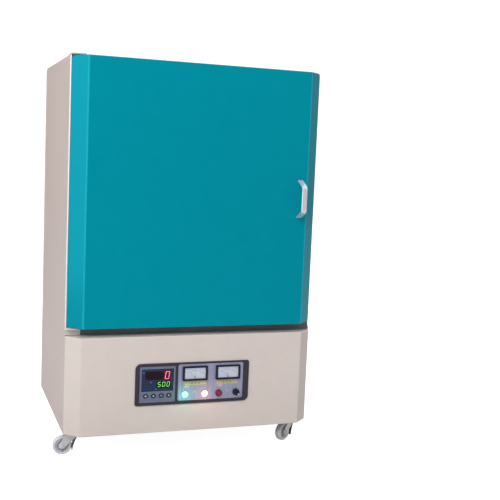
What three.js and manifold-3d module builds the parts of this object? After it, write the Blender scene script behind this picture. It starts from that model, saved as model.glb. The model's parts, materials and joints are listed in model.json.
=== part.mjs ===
// A front-loading electric pottery kiln on four castors: an insulated chamber behind a side-hung door,
// above a plinth that holds the controls. Units are millimetres. +X is to the right, +Y to the rear and
// +Z up; the origin is on the floor under the middle of the cabinet.

import * as THREE from 'three';
import { mergeVertices } from 'three/addons/utils/BufferGeometryUtils.js';
import Module from 'manifold-3d';

// ---- Driving sizes ----------------------------------------------------------------------------------
const BODY_W = 685;
const BODY_D = 524;
const CASTOR_STACK = 18;
const PLINTH_H = 261;
const DOOR_H = 693;
const DOOR_T = 37;
const DOOR_REVEAL = 3.5;
const DOOR_GAP_BELOW = 23;
const DOOR_DROP = 1;
const DOOR_STANDOFF = 7;
const CHAMFER_X = 37;
const CHAMFER_Y = 35;
const CORNER_R = 9;
const SHEET = 1.5;
const GAP = 0.3;

const CHAMBER_W = 400;
const CHAMBER_H = 400;
const CHAMBER_D = 300;
const MOUTH_RIM = 25;
const CASING_AIR = 18;
const REAR_BAY = 48;
const PLUG_DEPTH = 45;
const PLUG_CLEAR = 4;
const PLUG_TAPER = 6;
const GASKET_W = 14;

const WHEEL_D = 50;
const WHEEL_W = 20;
const CASTOR_TRAIL = 26;
const CASTOR_INSET_X = 31;
const CASTOR_INSET_FRONT = 80;
const CASTOR_INSET_REAR = 50;
const CASTOR_PLATE = 56;
const AXLE_R = 3;
const AXLE_CLEAR = 0.3;

const PANEL_X = -5;
const PANEL_RISE = 132;
const BEZEL_PROUD = 3;
const BEZEL_EDGE = 7;
const BEZEL_LEFT = 10.5;
const BEZEL_MIDDLE = 8.5;
const BEZEL_RIGHT = 15;
const CONTROLLER = 96;
const CONTROLLER_DEPTH = 70;
const METER_W = 69;
const METER_H = 39;
const METER_PROUD = 6;
const METER_SPACE = 23.7;
const METER_MARGIN_LEFT = 11.5;
const METER_MARGIN_RIGHT = 9.8;
const LAMP_R = 10;
const BUTTON_R = 9.4;
const BUTTON_TRAVEL = 2;
const KNOB_R = 9.5;

const HANDLE_SPAN = 98;
const HANDLE_GRIP = 66;
const HANDLE_REACH = 38;
const HANDLE_W = 15;
const HANDLE_T = 6;
const HANDLE_INSET = 59;
const HANDLE_RISE = 1.5;
const HINGE_PIN_R = 2.5;
const HINGE_CLEAR = 0.2;
const HINGE_INSET = 9.5;
const HINGE_SETBACK = 4.5;
const BRACKET_T = 3;

// ---- Places that follow from the driving sizes --------------------------------------------------------
const CASTOR_H = WHEEL_D + CASTOR_STACK;
const HALF_W = BODY_W / 2;
const INNER_HALF = HALF_W - SHEET - GAP;
const FRONT = -BODY_D / 2;
const REAR = BODY_D / 2;
const PLINTH_TOP = CASTOR_H + PLINTH_H;
const DOOR_HALF = HALF_W - DOOR_REVEAL;
const DOOR_BOTTOM = PLINTH_TOP + DOOR_GAP_BELOW;
const DOOR_TOP = DOOR_BOTTOM + DOOR_H;
const BODY_TOP = DOOR_TOP + DOOR_DROP;
const DOOR_BACK = FRONT + DOOR_T;
const FACE = DOOR_BACK + DOOR_STANDOFF;
const CHAMBER_Z = (DOOR_BOTTOM + DOOR_TOP) / 2;
const LINING_FRONT = FACE + SHEET + GAP;
const CHAMBER_REAR = LINING_FRONT + CHAMBER_D;
const CASING_REAR = REAR - SHEET - REAR_BAY;
const CASING_HALF = HALF_W - SHEET - CASING_AIR;
const CASING_BOTTOM = PLINTH_TOP + CASING_AIR;
const CASING_TOP = BODY_TOP - SHEET - CASING_AIR;
const MOUTH_HALF_W = CHAMBER_W / 2 + MOUTH_RIM;
const MOUTH_HALF_H = CHAMBER_H / 2 + MOUTH_RIM;
const HINGE_X = -DOOR_HALF + HINGE_INSET;
const HINGE_Y = DOOR_BACK - HINGE_SETBACK;
const PANEL_Z = CASTOR_H + PANEL_RISE;
const PLATE_W = METER_MARGIN_LEFT + METER_W + METER_SPACE + METER_W + METER_MARGIN_RIGHT;
const PLATE_H = CONTROLLER + 3;
const PANEL_W = BEZEL_LEFT + CONTROLLER + BEZEL_MIDDLE + PLATE_W + BEZEL_RIGHT;
const PANEL_H = CONTROLLER + 2 * BEZEL_EDGE;
const CONTROLLER_X = PANEL_X - PANEL_W / 2 + BEZEL_LEFT + CONTROLLER / 2;
const PLATE_X = CONTROLLER_X + CONTROLLER / 2 + BEZEL_MIDDLE + PLATE_W / 2;

// ---- Finishes ---------------------------------------------------------------------------------------
const FINISHES = {
  cabinet_paint: [0xd9d0cb, 0.45, 0.1],
  door_paint: [0x028ca0, 0.3, 0.1],
  zinc_plate: [0xc6c8c9, 0.4, 0.85],
  bare_steel: [0x9a9c9e, 0.45, 0.9],
  bright_handle: [0xe4e6e8, 0.15, 1.0],
  fibre_board: [0xf1efe9, 0.95, 0.0],
  hearth_ceramic: [0xcdb99b, 0.85, 0.0],
  heating_wire: [0x55504c, 0.6, 0.8],
  castor_wheel: [0xa9abb0, 0.35, 0.0],
  bezel_plastic: [0x3a3638, 0.5, 0.0],
  instrument_face: [0xb9b6c8, 0.4, 0.6],
  controller_plastic: [0x7f8893, 0.5, 0.0],
  display_window: [0x1c2c4a, 0.1, 0.0],
  black_plastic: [0x16181c, 0.4, 0.0],
  needle_red: [0x6a1a1a, 0.5, 0.0],
  green_lens: [0x9ff5e0, 0.15, 0.0],
  amber_lens: [0xfff0cf, 0.15, 0.0],
  red_button: [0x7a1638, 0.3, 0.0],
};

const kiln = new THREE.Group();

// ---- Shape helpers ------------------------------------------------------------------------------------
const wasm = await Module();
wasm.setup();

// Turns a closed geometry into a solid that can be cut and joined; triangles folded flat at a pole go.
function toSolid(geometry) {
  const bare = geometry.clone();
  bare.deleteAttribute('normal');
  bare.deleteAttribute('uv');
  const merged = mergeVertices(bare, 1e-4);
  const corners = merged.index.array;
  const kept = [];
  for (let i = 0; i < corners.length; i += 3) {
    const [a, b, c] = [corners[i], corners[i + 1], corners[i + 2]];
    if (a !== b && b !== c && c !== a) {
      kept.push(a, b, c);
    }
  }
  const vertProperties = new Float32Array(merged.attributes.position.array);
  const triVerts = new Uint32Array(kept);
  return new wasm.Manifold(new wasm.Mesh({ numProp: 3, vertProperties, triVerts }));
}

function toGeometry(solid) {
  const mesh = solid.getMesh();
  const geometry = new THREE.BufferGeometry();
  geometry.setAttribute('position', new THREE.BufferAttribute(new Float32Array(mesh.vertProperties), 3));
  geometry.setIndex(new THREE.BufferAttribute(new Uint32Array(mesh.triVerts), 1));
  return geometry;
}

function addPart(name, solid, finish, parent = kiln) {
  const [color, roughness, metalness] = FINISHES[finish];
  const material = new THREE.MeshStandardMaterial({ color, roughness, metalness });
  const mesh = new THREE.Mesh(toGeometry(solid), material);
  mesh.name = name;
  parent.add(mesh);
  return mesh;
}

function joined(solids) {
  return solids.reduce((whole, piece) => whole.add(piece));
}

function block(x0, x1, y0, y1, z0, z1) {
  const geometry = new THREE.BoxGeometry(x1 - x0, y1 - y0, z1 - z0);
  geometry.translate((x0 + x1) / 2, (y0 + y1) / 2, (z0 + z1) / 2);
  return toSolid(geometry);
}

function extruded(shape, depth, curveSegments) {
  return new THREE.ExtrudeGeometry(shape, { depth, bevelEnabled: false, curveSegments });
}

// A shape drawn in X and Y, standing from z0 up to z1.
function prismZ(shape, z0, z1, curveSegments = 4) {
  const geometry = extruded(shape, z1 - z0, curveSegments);
  geometry.translate(0, 0, z0);
  return toSolid(geometry);
}

// A shape drawn in X and Z, from y0 back to y1.
function prismY(shape, y0, y1, curveSegments = 4) {
  const geometry = extruded(shape, y1 - y0, curveSegments);
  geometry.rotateX(Math.PI / 2);
  geometry.translate(0, y1, 0);
  return toSolid(geometry);
}

// A shape drawn in Y and Z, from x0 to x1.
function prismX(shape, x0, x1, curveSegments = 4) {
  const geometry = extruded(shape, x1 - x0, curveSegments);
  const yAxis = new THREE.Vector3(0, 1, 0);
  const zAxis = new THREE.Vector3(0, 0, 1);
  const xAxis = new THREE.Vector3(1, 0, 0);
  geometry.applyMatrix4(new THREE.Matrix4().makeBasis(yAxis, zAxis, xAxis));
  geometry.translate(x0, 0, 0);
  return toSolid(geometry);
}

function polygon(points) {
  return new THREE.Shape(points.map(([u, v]) => new THREE.Vector2(u, v)));
}

// A rectangle about (cx, cy) with its own radius at each corner, listed from bottom left anticlockwise.
function roundedRect(cx, cy, width, height, radii) {
  const [bl, br, tr, tl] = Array.isArray(radii) ? radii : [radii, radii, radii, radii];
  const [x0, x1] = [cx - width / 2, cx + width / 2];
  const [y0, y1] = [cy - height / 2, cy + height / 2];
  const shape = new THREE.Shape();
  shape.moveTo(x0 + bl, y0);
  shape.lineTo(x1 - br, y0);
  shape.absarc(x1 - br, y0 + br, br, -Math.PI / 2, 0, false);
  shape.lineTo(x1, y1 - tr);
  shape.absarc(x1 - tr, y1 - tr, tr, 0, Math.PI / 2, false);
  shape.lineTo(x0 + tl, y1);
  shape.absarc(x0 + tl, y1 - tl, tl, Math.PI / 2, Math.PI, false);
  shape.lineTo(x0, y0 + bl);
  shape.absarc(x0 + bl, y0 + bl, bl, Math.PI, Math.PI * 1.5, false);
  return shape;
}

// A round piece from [radius, height] pairs; the profile runs up the outside and closes on the axis.
function turned(profile, segments = 20) {
  const points = profile.map(([r, h]) => new THREE.Vector2(r, h));
  return new THREE.LatheGeometry(points, segments);
}

// Lays a turned piece along Y with its height running towards the front.
function facingFront(geometry, x, y, z) {
  geometry.rotateX(Math.PI);
  geometry.translate(x, y, z);
  return toSolid(geometry);
}

function rod(radius, y0, y1, x, z, segments = 16) {
  const geometry = new THREE.CylinderGeometry(radius, radius, y1 - y0, segments);
  geometry.translate(x, (y0 + y1) / 2, z);
  return toSolid(geometry);
}

function post(radius, z0, z1, x, y, segments = 20) {
  const geometry = new THREE.CylinderGeometry(radius, radius, z1 - z0, segments);
  geometry.rotateX(Math.PI / 2);
  geometry.translate(x, y, (z0 + z1) / 2);
  return toSolid(geometry);
}

// The plan of the door and the plinth: flat front and two slanted corners, drawn `inset` inside the skin.
function frontPlan(half, inset, back) {
  const slant = Math.hypot(CHAMFER_X, CHAMFER_Y);
  const xFront = half - CHAMFER_X - inset * (slant - CHAMFER_X) / CHAMFER_Y;
  const yEdge = FRONT + CHAMFER_Y + inset * (slant - CHAMFER_Y) / CHAMFER_X;
  const side = half - inset;
  return polygon([
    [-xFront, FRONT + inset],
    [xFront, FRONT + inset],
    [side, yEdge],
    [side, back],
    [-side, back],
    [-side, yEdge],
  ]);
}

// ---- Base frame and castors ---------------------------------------------------------------------------
const FRAME_FRONT = FRONT + DOOR_T + SHEET;
const FRAME_REAR = REAR - SHEET - GAP;
const ANGLE_LEG = 30;
const ANGLE_T = 3;

function buildBaseFrame() {
  const [z0, z1] = [CASTOR_H, CASTOR_H + ANGLE_LEG];
  const inner = INNER_HALF - ANGLE_T;
  const opening = INNER_HALF - ANGLE_LEG;
  const frame = block(-INNER_HALF, INNER_HALF, FRAME_FRONT, FRAME_REAR, z0, z1)
    .subtract(block(-inner, inner, FRAME_FRONT + ANGLE_T, FRAME_REAR - ANGLE_T, z0 + ANGLE_T, z1 + 1))
    .subtract(block(-opening, opening, FRAME_FRONT + ANGLE_LEG, FRAME_REAR - ANGLE_LEG, z0 - 1, z1 + 1));
  const gusset = CASTOR_INSET_X + CASTOR_PLATE / 2;
  const reachFront = FRONT + CASTOR_INSET_FRONT + CASTOR_PLATE / 2;
  const reachRear = REAR - CASTOR_INSET_REAR - CASTOR_PLATE / 2;
  const gussets = [];
  for (const side of [-1, 1]) {
    const [xa, xb] = [side * (HALF_W - gusset), side * (INNER_HALF - 1)].sort((a, b) => a - b);
    gussets.push(block(xa, xb, FRAME_FRONT + 1, reachFront, z0, z0 + ANGLE_T));
    gussets.push(block(xa, xb, reachRear, FRAME_REAR - 1, z0, z0 + ANGLE_T));
  }
  return joined([frame, ...gussets]);
}

function buildBasePan() {
  const half = INNER_HALF - ANGLE_T - GAP;
  const bottom = CASTOR_H + ANGLE_T + GAP;
  const front = FRAME_FRONT + ANGLE_T + GAP;
  const pan = block(-half, half, front, FRAME_REAR - ANGLE_T - GAP, bottom, bottom + SHEET);
  const slots = [];
  for (let i = -3; i <= 3; i++) {
    slots.push(block(i * 40 - 4, i * 40 + 4, -70, 70, bottom - 1, bottom + SHEET + 1));
  }
  return pan.subtract(joined(slots));
}

addPart('base_frame', buildBaseFrame(), 'bare_steel');
addPart('base_pan', buildBasePan(), 'zinc_plate');

// One swivel castor, drawn about its own swivel axis with the wheel trailing along +X.
const PLATE_T = 2.5;
const CUP_R = 17;
const CUP_H = 4;
const FORK_TOP = CASTOR_H - GAP - PLATE_T - CUP_H - GAP;
const FORK_T = 2.2;
const FORK_GAP = 1.2;

function buildCastorPlate() {
  const top = CASTOR_H - GAP;
  const plate = prismZ(roundedRect(0, 0, CASTOR_PLATE, CASTOR_PLATE, 5), top - PLATE_T, top, 2);
  const cup = post(CUP_R, top - PLATE_T - CUP_H, top - PLATE_T + 1, 0, 0, 18);
  const holes = [];
  for (const [sx, sy] of [[-1, -1], [1, -1], [1, 1], [-1, 1]]) {
    const offset = CASTOR_PLATE / 2 - 7;
    holes.push(post(3, top - PLATE_T - 1, top + 1, sx * offset, sy * offset, 6));
  }
  return plate.add(cup).subtract(joined(holes));
}

function buildCastorFork() {
  const crown = post(CUP_R - 1, FORK_TOP - FORK_T, FORK_TOP, 0, 0, 18);
  const axleZ = WHEEL_D / 2;
  const leg = new THREE.Shape();
  leg.moveTo(-CUP_R + 3, FORK_TOP);
  leg.lineTo(-CUP_R + 3, FORK_TOP - 8);
  leg.lineTo(CASTOR_TRAIL - 8, axleZ - 3);
  leg.absarc(CASTOR_TRAIL, axleZ, 8.5, Math.PI * 1.12, Math.PI * 2.1, false);
  leg.lineTo(CUP_R - 1, FORK_TOP);
  const inside = WHEEL_W / 2 + FORK_GAP;
  const legs = [
    prismY(leg, -inside - FORK_T, -inside, 5),
    prismY(leg, inside, inside + FORK_T, 5),
  ];
  const bolt = rod(AXLE_R, -inside - FORK_T - 2, inside + FORK_T + 2, CASTOR_TRAIL, axleZ, 12);
  const heads = [
    rod(5, -inside - FORK_T - 4, -inside - FORK_T + 0.5, CASTOR_TRAIL, axleZ, 6),
    rod(5, inside + FORK_T - 0.5, inside + FORK_T + 4, CASTOR_TRAIL, axleZ, 6),
  ];
  const bridge = block(-CUP_R + 3, CUP_R - 3, -inside - FORK_T, inside + FORK_T, FORK_TOP - FORK_T, FORK_TOP);
  return joined([crown, bridge, ...legs, bolt, ...heads]);
}

function buildCastorWheel() {
  const [outer, half] = [WHEEL_D / 2, WHEEL_W / 2];
  const bore = AXLE_R + AXLE_CLEAR;
  const profile = [
    [bore, -half],
    [outer - 6, -half],
    [outer, -half + 5],
    [outer, half - 5],
    [outer - 6, half],
    [bore, half],
    [bore, -half],
  ];
  const geometry = turned(profile, 24);
  geometry.translate(CASTOR_TRAIL, 0, 0);
  geometry.translate(0, 0, WHEEL_D / 2);
  return toSolid(geometry);
}

// Each castor's corner and the way its wheel trails, in degrees anticlockwise from +X.
const CASTORS = [
  ['front_left', -1, FRONT + CASTOR_INSET_FRONT, 175],
  ['front_right', 1, FRONT + CASTOR_INSET_FRONT, 213],
  ['rear_left', -1, REAR - CASTOR_INSET_REAR, 20],
  ['rear_right', 1, REAR - CASTOR_INSET_REAR, 5],
];
for (const [corner, side, y, trailDegrees] of CASTORS) {
  const castor = new THREE.Group();
  castor.position.set(side * (HALF_W - CASTOR_INSET_X), y, 0);
  kiln.add(castor);
  addPart(`castor_plate_${corner}`, buildCastorPlate(), 'zinc_plate', castor);
  const swivel = new THREE.Group();
  swivel.rotation.z = THREE.MathUtils.degToRad(trailDegrees);
  castor.add(swivel);
  addPart(`castor_fork_${corner}`, buildCastorFork(), 'zinc_plate', swivel);
  addPart(`castor_wheel_${corner}`, buildCastorWheel(), 'castor_wheel', swivel);
}

// ---- Cabinet sheet metal --------------------------------------------------------------------------------
const COVER_BACK = FRONT + DOOR_T;
const CASE_SIZE = CONTROLLER - 5;
const PLATE_Z = PANEL_Z + 1.8;
const CUTOUT_LAND = 4;

function buildPlinthCover() {
  const outer = prismZ(frontPlan(HALF_W, 0, COVER_BACK), CASTOR_H, PLINTH_TOP);
  const hollow = prismZ(frontPlan(HALF_W, SHEET, COVER_BACK + 1), CASTOR_H + SHEET, PLINTH_TOP - SHEET);
  const controllerHole = roundedRect(CONTROLLER_X, PANEL_Z, CASE_SIZE + 1, CASE_SIZE + 1, 1);
  const plateHole = roundedRect(PLATE_X, PLATE_Z, PLATE_W - 2 * CUTOUT_LAND, PLATE_H - 2 * CUTOUT_LAND, 3);
  return outer
    .subtract(hollow)
    .subtract(prismY(controllerHole, FRONT - 1, FRONT + SHEET + 1, 2))
    .subtract(prismY(plateHole, FRONT - 1, FRONT + SHEET + 1, 2));
}

const SIDE_REAR_R = 15;
const SIDE_STEP_R = 7;

function buildSidePanel(side) {
  const front = COVER_BACK + GAP;
  const step = FACE - front;
  const panel = new THREE.Shape();
  panel.moveTo(front, CASTOR_H);
  panel.lineTo(REAR, CASTOR_H);
  panel.lineTo(REAR, BODY_TOP - SIDE_REAR_R);
  panel.absarc(REAR - SIDE_REAR_R, BODY_TOP - SIDE_REAR_R, SIDE_REAR_R, 0, Math.PI / 2, false);
  panel.lineTo(FACE, BODY_TOP);
  panel.lineTo(FACE, PLINTH_TOP + SIDE_STEP_R + step);
  panel.lineTo(front, PLINTH_TOP + SIDE_STEP_R);
  const [x0, x1] = side < 0 ? [-HALF_W, -HALF_W + SHEET] : [HALF_W - SHEET, HALF_W];
  return prismX(panel, x0, x1, 6);
}

function buildTopCover() {
  const roof = block(-INNER_HALF, INNER_HALF, FACE, REAR - SIDE_REAR_R, BODY_TOP - SHEET, BODY_TOP);
  const back = REAR - SIDE_REAR_R;
  const curve = new THREE.Shape();
  curve.moveTo(back - 1, BODY_TOP);
  curve.lineTo(back - 1, BODY_TOP - SHEET);
  curve.lineTo(back, BODY_TOP - SHEET);
  curve.absarc(back, BODY_TOP - SIDE_REAR_R, SIDE_REAR_R - SHEET, Math.PI / 2, 0, true);
  curve.lineTo(REAR, BODY_TOP - SIDE_REAR_R);
  curve.absarc(back, BODY_TOP - SIDE_REAR_R, SIDE_REAR_R, 0, Math.PI / 2, false);
  return roof.add(prismX(curve, -INNER_HALF, INNER_HALF, 6));
}

const THERMOCOUPLE_Z = CHAMBER_Z + CHAMBER_H / 2 - 60;
const SHEATH_R = 4;
const GLAND_X = -220;
const GLAND_Z = CASTOR_H + 90;
const GLAND_R = 9;

function buildRearPanel() {
  const top = BODY_TOP - SIDE_REAR_R - GAP;
  const panel = block(-INNER_HALF, INNER_HALF, REAR - SHEET, REAR, CASTOR_H, top);
  const cuts = [
    rod(SHEATH_R + 2, REAR - 5, REAR + 5, 0, THERMOCOUPLE_Z),
    rod(GLAND_R + 0.5, REAR - 5, REAR + 5, GLAND_X, GLAND_Z),
  ];
  for (const x of [-130, 130]) {
    for (let i = 0; i < 6; i++) {
      const z = CASTOR_H + 60 + i * 24;
      cuts.push(block(x - 60, x + 60, REAR - 5, REAR + 5, z, z + 7));
    }
  }
  return panel.subtract(joined(cuts));
}

function buildFrontFrame() {
  const bottom = PLINTH_TOP + GAP;
  const top = BODY_TOP - SHEET - GAP;
  const plate = block(-INNER_HALF, INNER_HALF, FACE, FACE + SHEET, bottom, top);
  const mouth = roundedRect(0, CHAMBER_Z, 2 * MOUTH_HALF_W, 2 * MOUTH_HALF_H, 6);
  return plate.subtract(prismY(mouth, FACE - 1, FACE + SHEET + 1, 3));
}

function buildChamberDeck() {
  return block(-INNER_HALF, INNER_HALF, COVER_BACK + GAP, REAR - SHEET - GAP, PLINTH_TOP - SHEET, PLINTH_TOP);
}

addPart('plinth_cover', buildPlinthCover(), 'cabinet_paint');
addPart('left_side_panel', buildSidePanel(-1), 'cabinet_paint');
addPart('right_side_panel', buildSidePanel(1), 'cabinet_paint');
addPart('top_cover', buildTopCover(), 'cabinet_paint');
addPart('rear_panel', buildRearPanel(), 'cabinet_paint');
addPart('front_frame', buildFrontFrame(), 'cabinet_paint');
addPart('chamber_deck', buildChamberDeck(), 'cabinet_paint');

// ---- Inner casing, insulation and chamber fittings --------------------------------------------------------
const WIRE_R = 4;
const WIRE_SINK = 6;
const WIRE_RUNS = 6;
const WIRE_SPREAD = 300;
const WIRE_FRONT = LINING_FRONT + 70;
const WIRE_BEND_REAR = CHAMBER_REAR - 45;
const WIRE_END = CASING_REAR + 22;
const WIRE_HOLE_R = WIRE_R + 2;
const GROOVE = 2 * (WIRE_SINK + 1);
const RUN_PITCH = WIRE_SPREAD / (WIRE_RUNS - 1);
const WIRE_X = CHAMBER_W / 2 + WIRE_SINK;

// A path through given stations, so that straight runs need no points of their own.
class StationPath extends THREE.Curve {
  constructor(stations) {
    super();
    this.stations = stations;
  }

  getPoint(t, target = new THREE.Vector3()) {
    const last = this.stations.length - 1;
    const along = THREE.MathUtils.clamp(t, 0, 1) * last;
    const i = Math.min(Math.floor(along + 1e-9), last - 1);
    return target.lerpVectors(this.stations[i], this.stations[i + 1], along - i);
  }

  getPointAt(u, target) {
    return this.getPoint(u, target);
  }

  getTangentAt(u, target = new THREE.Vector3()) {
    const last = this.stations.length - 1;
    const i = Math.round(u * last);
    const before = this.stations[Math.max(i - 1, 0)];
    const after = this.stations[Math.min(i + 1, last)];
    const here = this.stations[i];
    const arriving = new THREE.Vector3().subVectors(here, before).normalize();
    const leaving = new THREE.Vector3().subVectors(after, here).normalize();
    return target.addVectors(arriving, leaving).normalize();
  }
}

// Forward and back along the side wall, one run above the other, with both ends leaving at the rear.
function wireStations(x, end) {
  const stations = [new THREE.Vector3(x, end, CHAMBER_Z - WIRE_SPREAD / 2)];
  const radius = RUN_PITCH / 2;
  for (let run = 0; run < WIRE_RUNS - 1; run++) {
    const towardsFront = run % 2 === 0;
    const yBend = towardsFront ? WIRE_FRONT : WIRE_BEND_REAR;
    const zMiddle = CHAMBER_Z - WIRE_SPREAD / 2 + (run + 0.5) * RUN_PITCH;
    for (let k = 0; k <= 6; k++) {
      const angle = -Math.PI / 2 + k * Math.PI / 6;
      const bulge = Math.cos(angle) * radius;
      const y = towardsFront ? yBend - bulge : yBend + bulge;
      stations.push(new THREE.Vector3(x, y, zMiddle + Math.sin(angle) * radius));
    }
  }
  stations.push(new THREE.Vector3(x, end, CHAMBER_Z + WIRE_SPREAD / 2));
  return stations;
}

function swept(section, stations) {
  const options = { steps: stations.length - 1, bevelEnabled: false, extrudePath: new StationPath(stations) };
  return toSolid(new THREE.ExtrudeGeometry(section, { ...options, curveSegments: 2 }));
}

function roundSection(radius, sides) {
  const points = [];
  for (let i = 0; i < sides; i++) {
    const angle = (i + 0.5) * 2 * Math.PI / sides;
    points.push([radius * Math.cos(angle), radius * Math.sin(angle)]);
  }
  return polygon(points);
}

function wirePassages() {
  const passages = [];
  for (const side of [-1, 1]) {
    for (const end of [-1, 1]) {
      const z = CHAMBER_Z + end * WIRE_SPREAD / 2;
      passages.push(rod(WIRE_HOLE_R, CHAMBER_REAR - 2, CASING_REAR + 2, side * WIRE_X, z, 8));
    }
  }
  passages.push(rod(SHEATH_R + 1, CHAMBER_REAR - 2, CASING_REAR + 2, 0, THERMOCOUPLE_Z, 12));
  return joined(passages);
}

const BOARD_HALF = CASING_HALF - SHEET - GAP;
const BOARD_BOTTOM = CASING_BOTTOM + SHEET + GAP;
const BOARD_TOP = CASING_TOP - SHEET - GAP;
const CHAMBER_BOTTOM = CHAMBER_Z - CHAMBER_H / 2;
const CHAMBER_TOP = CHAMBER_Z + CHAMBER_H / 2;

function buildInnerCasing() {
  const inner = CASING_HALF - SHEET;
  const outer = block(-CASING_HALF, CASING_HALF, LINING_FRONT, CASING_REAR, CASING_BOTTOM, CASING_TOP);
  const hollow = block(
    -inner, inner, LINING_FRONT - 1, CASING_REAR - SHEET, CASING_BOTTOM + SHEET, CASING_TOP - SHEET,
  );
  return outer.subtract(hollow).subtract(wirePassages());
}

function buildCasingStand() {
  const [top, bottom] = [CASING_BOTTOM - GAP, PLINTH_TOP + GAP];
  const [front, rear] = [LINING_FRONT + 20, CASING_REAR - 20];
  const half = CASING_HALF - 30;
  const bar = 20;
  return block(-half, half, front, rear, bottom, top)
    .subtract(block(-half + bar, half - bar, front + bar, rear - bar, bottom - 1, top + 1));
}

function buildSideBoard(side) {
  const [x0, x1] = side < 0 ? [-BOARD_HALF, -CHAMBER_W / 2] : [CHAMBER_W / 2, BOARD_HALF];
  const board = block(x0, x1, LINING_FRONT, CHAMBER_REAR, CHAMBER_BOTTOM + GAP, CHAMBER_TOP - GAP);
  const half = GROOVE / 2;
  const section = polygon([[-half, -half], [half, -half], [half, half], [-half, half]]);
  return board.subtract(swept(section, wireStations(side * WIRE_X, CHAMBER_REAR + 2)));
}

function buildFloorBoard() {
  return block(-BOARD_HALF, BOARD_HALF, LINING_FRONT, CHAMBER_REAR, BOARD_BOTTOM, CHAMBER_BOTTOM);
}

function buildRoofBoard() {
  return block(-BOARD_HALF, BOARD_HALF, LINING_FRONT, CHAMBER_REAR, CHAMBER_TOP, BOARD_TOP);
}

function buildRearBoard() {
  const [front, rear] = [CHAMBER_REAR + GAP, CASING_REAR - SHEET - GAP];
  return block(-BOARD_HALF, BOARD_HALF, front, rear, BOARD_BOTTOM, BOARD_TOP).subtract(wirePassages());
}

const HEARTH_T = 15;
const HEARTH_MARGIN = 14;

function buildHearthPlate() {
  const half = CHAMBER_W / 2 - HEARTH_MARGIN;
  const front = LINING_FRONT + PLUG_DEPTH + HEARTH_MARGIN;
  const bottom = CHAMBER_BOTTOM + GAP;
  return block(-half, half, front, CHAMBER_REAR - HEARTH_MARGIN, bottom, bottom + HEARTH_T);
}

function buildThermocouple() {
  const behind = REAR + GAP;
  const tip = CHAMBER_REAR - 40;
  const sheath = rod(SHEATH_R, tip, behind + 2, 0, THERMOCOUPLE_Z, 12);
  const flange = rod(17, behind, behind + 3, 0, THERMOCOUPLE_Z, 20);
  const neck = rod(8, behind + 2, behind + 12, 0, THERMOCOUPLE_Z, 16);
  const head = rod(19, behind + 10, behind + 34, 0, THERMOCOUPLE_Z, 24);
  return joined([sheath, flange, neck, head]);
}

function buildCableGland() {
  const behind = REAR + GAP;
  const thread = rod(GLAND_R, REAR - 14, behind + 1, GLAND_X, GLAND_Z, 20);
  const hexagon = rod(14, behind, behind + 8, GLAND_X, GLAND_Z, 6);
  const dome = rod(11, behind + 7, behind + 22, GLAND_X, GLAND_Z, 20);
  const bore = rod(5, REAR - 20, behind + 30, GLAND_X, GLAND_Z, 16);
  return joined([thread, hexagon, dome]).subtract(bore);
}

addPart('inner_casing', buildInnerCasing(), 'zinc_plate');
addPart('casing_stand', buildCasingStand(), 'bare_steel');
addPart('insulation_floor', buildFloorBoard(), 'fibre_board');
addPart('insulation_left', buildSideBoard(-1), 'fibre_board');
addPart('insulation_right', buildSideBoard(1), 'fibre_board');
addPart('insulation_roof', buildRoofBoard(), 'fibre_board');
addPart('insulation_rear', buildRearBoard(), 'fibre_board');
addPart('hearth_plate', buildHearthPlate(), 'hearth_ceramic');
for (const [hand, side] of [['left', -1], ['right', 1]]) {
  const wire = swept(roundSection(WIRE_R, 8), wireStations(side * WIRE_X, WIRE_END));
  addPart(`heating_element_${hand}`, wire, 'heating_wire');
}
addPart('thermocouple', buildThermocouple(), 'zinc_plate');
addPart('cable_gland', buildCableGland(), 'black_plastic');

// ---- Door -------------------------------------------------------------------------------------------------
const PLUG_HALF_W = CHAMBER_W / 2 - PLUG_CLEAR;
const PLUG_HALF_H = CHAMBER_H / 2 - PLUG_CLEAR;
const PLUG_LAND = 50;

function doorElevation(inset) {
  return roundedRect(0, CHAMBER_Z, 2 * (DOOR_HALF - inset), DOOR_H - 2 * inset, CORNER_R - inset);
}

function hingePinHole(z0, z1) {
  return post(HINGE_PIN_R + HINGE_CLEAR, z0, z1, HINGE_X, HINGE_Y, 24);
}

function buildDoorSkin() {
  const outer = prismZ(frontPlan(DOOR_HALF, 0, DOOR_BACK), DOOR_BOTTOM, DOOR_TOP)
    .intersect(prismY(doorElevation(0), FRONT - 1, DOOR_BACK + 1, 6));
  const hollow = prismZ(frontPlan(DOOR_HALF, SHEET, DOOR_BACK + 1), DOOR_BOTTOM + SHEET, DOOR_TOP - SHEET)
    .intersect(prismY(doorElevation(SHEET), FRONT - 1, DOOR_BACK + 2, 6));
  return outer.subtract(hollow).subtract(hingePinHole(DOOR_BOTTOM - 1, DOOR_TOP + 1));
}

function buildDoorBackPlate() {
  const plate = prismY(doorElevation(SHEET + GAP), DOOR_BACK - SHEET, DOOR_BACK, 6);
  const opening = roundedRect(0, CHAMBER_Z, 2 * (PLUG_HALF_W + GAP), 2 * (PLUG_HALF_H + GAP), GAP);
  return plate.subtract(prismY(opening, DOOR_BACK - SHEET - 1, DOOR_BACK + 1, 2));
}

// A block whose rear face is `taper` smaller all round than its front face.
function taperedBlock(halfW, halfH, taper, y0, y1) {
  const geometry = new THREE.BoxGeometry(2 * halfW, y1 - y0, 2 * halfH);
  const places = geometry.attributes.position;
  for (let i = 0; i < places.count; i++) {
    if (places.getY(i) > 0) {
      places.setX(i, Math.sign(places.getX(i)) * (halfW - taper));
      places.setZ(i, Math.sign(places.getZ(i)) * (halfH - taper));
    }
  }
  geometry.translate(0, (y0 + y1) / 2, CHAMBER_Z);
  return toSolid(geometry);
}

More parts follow.
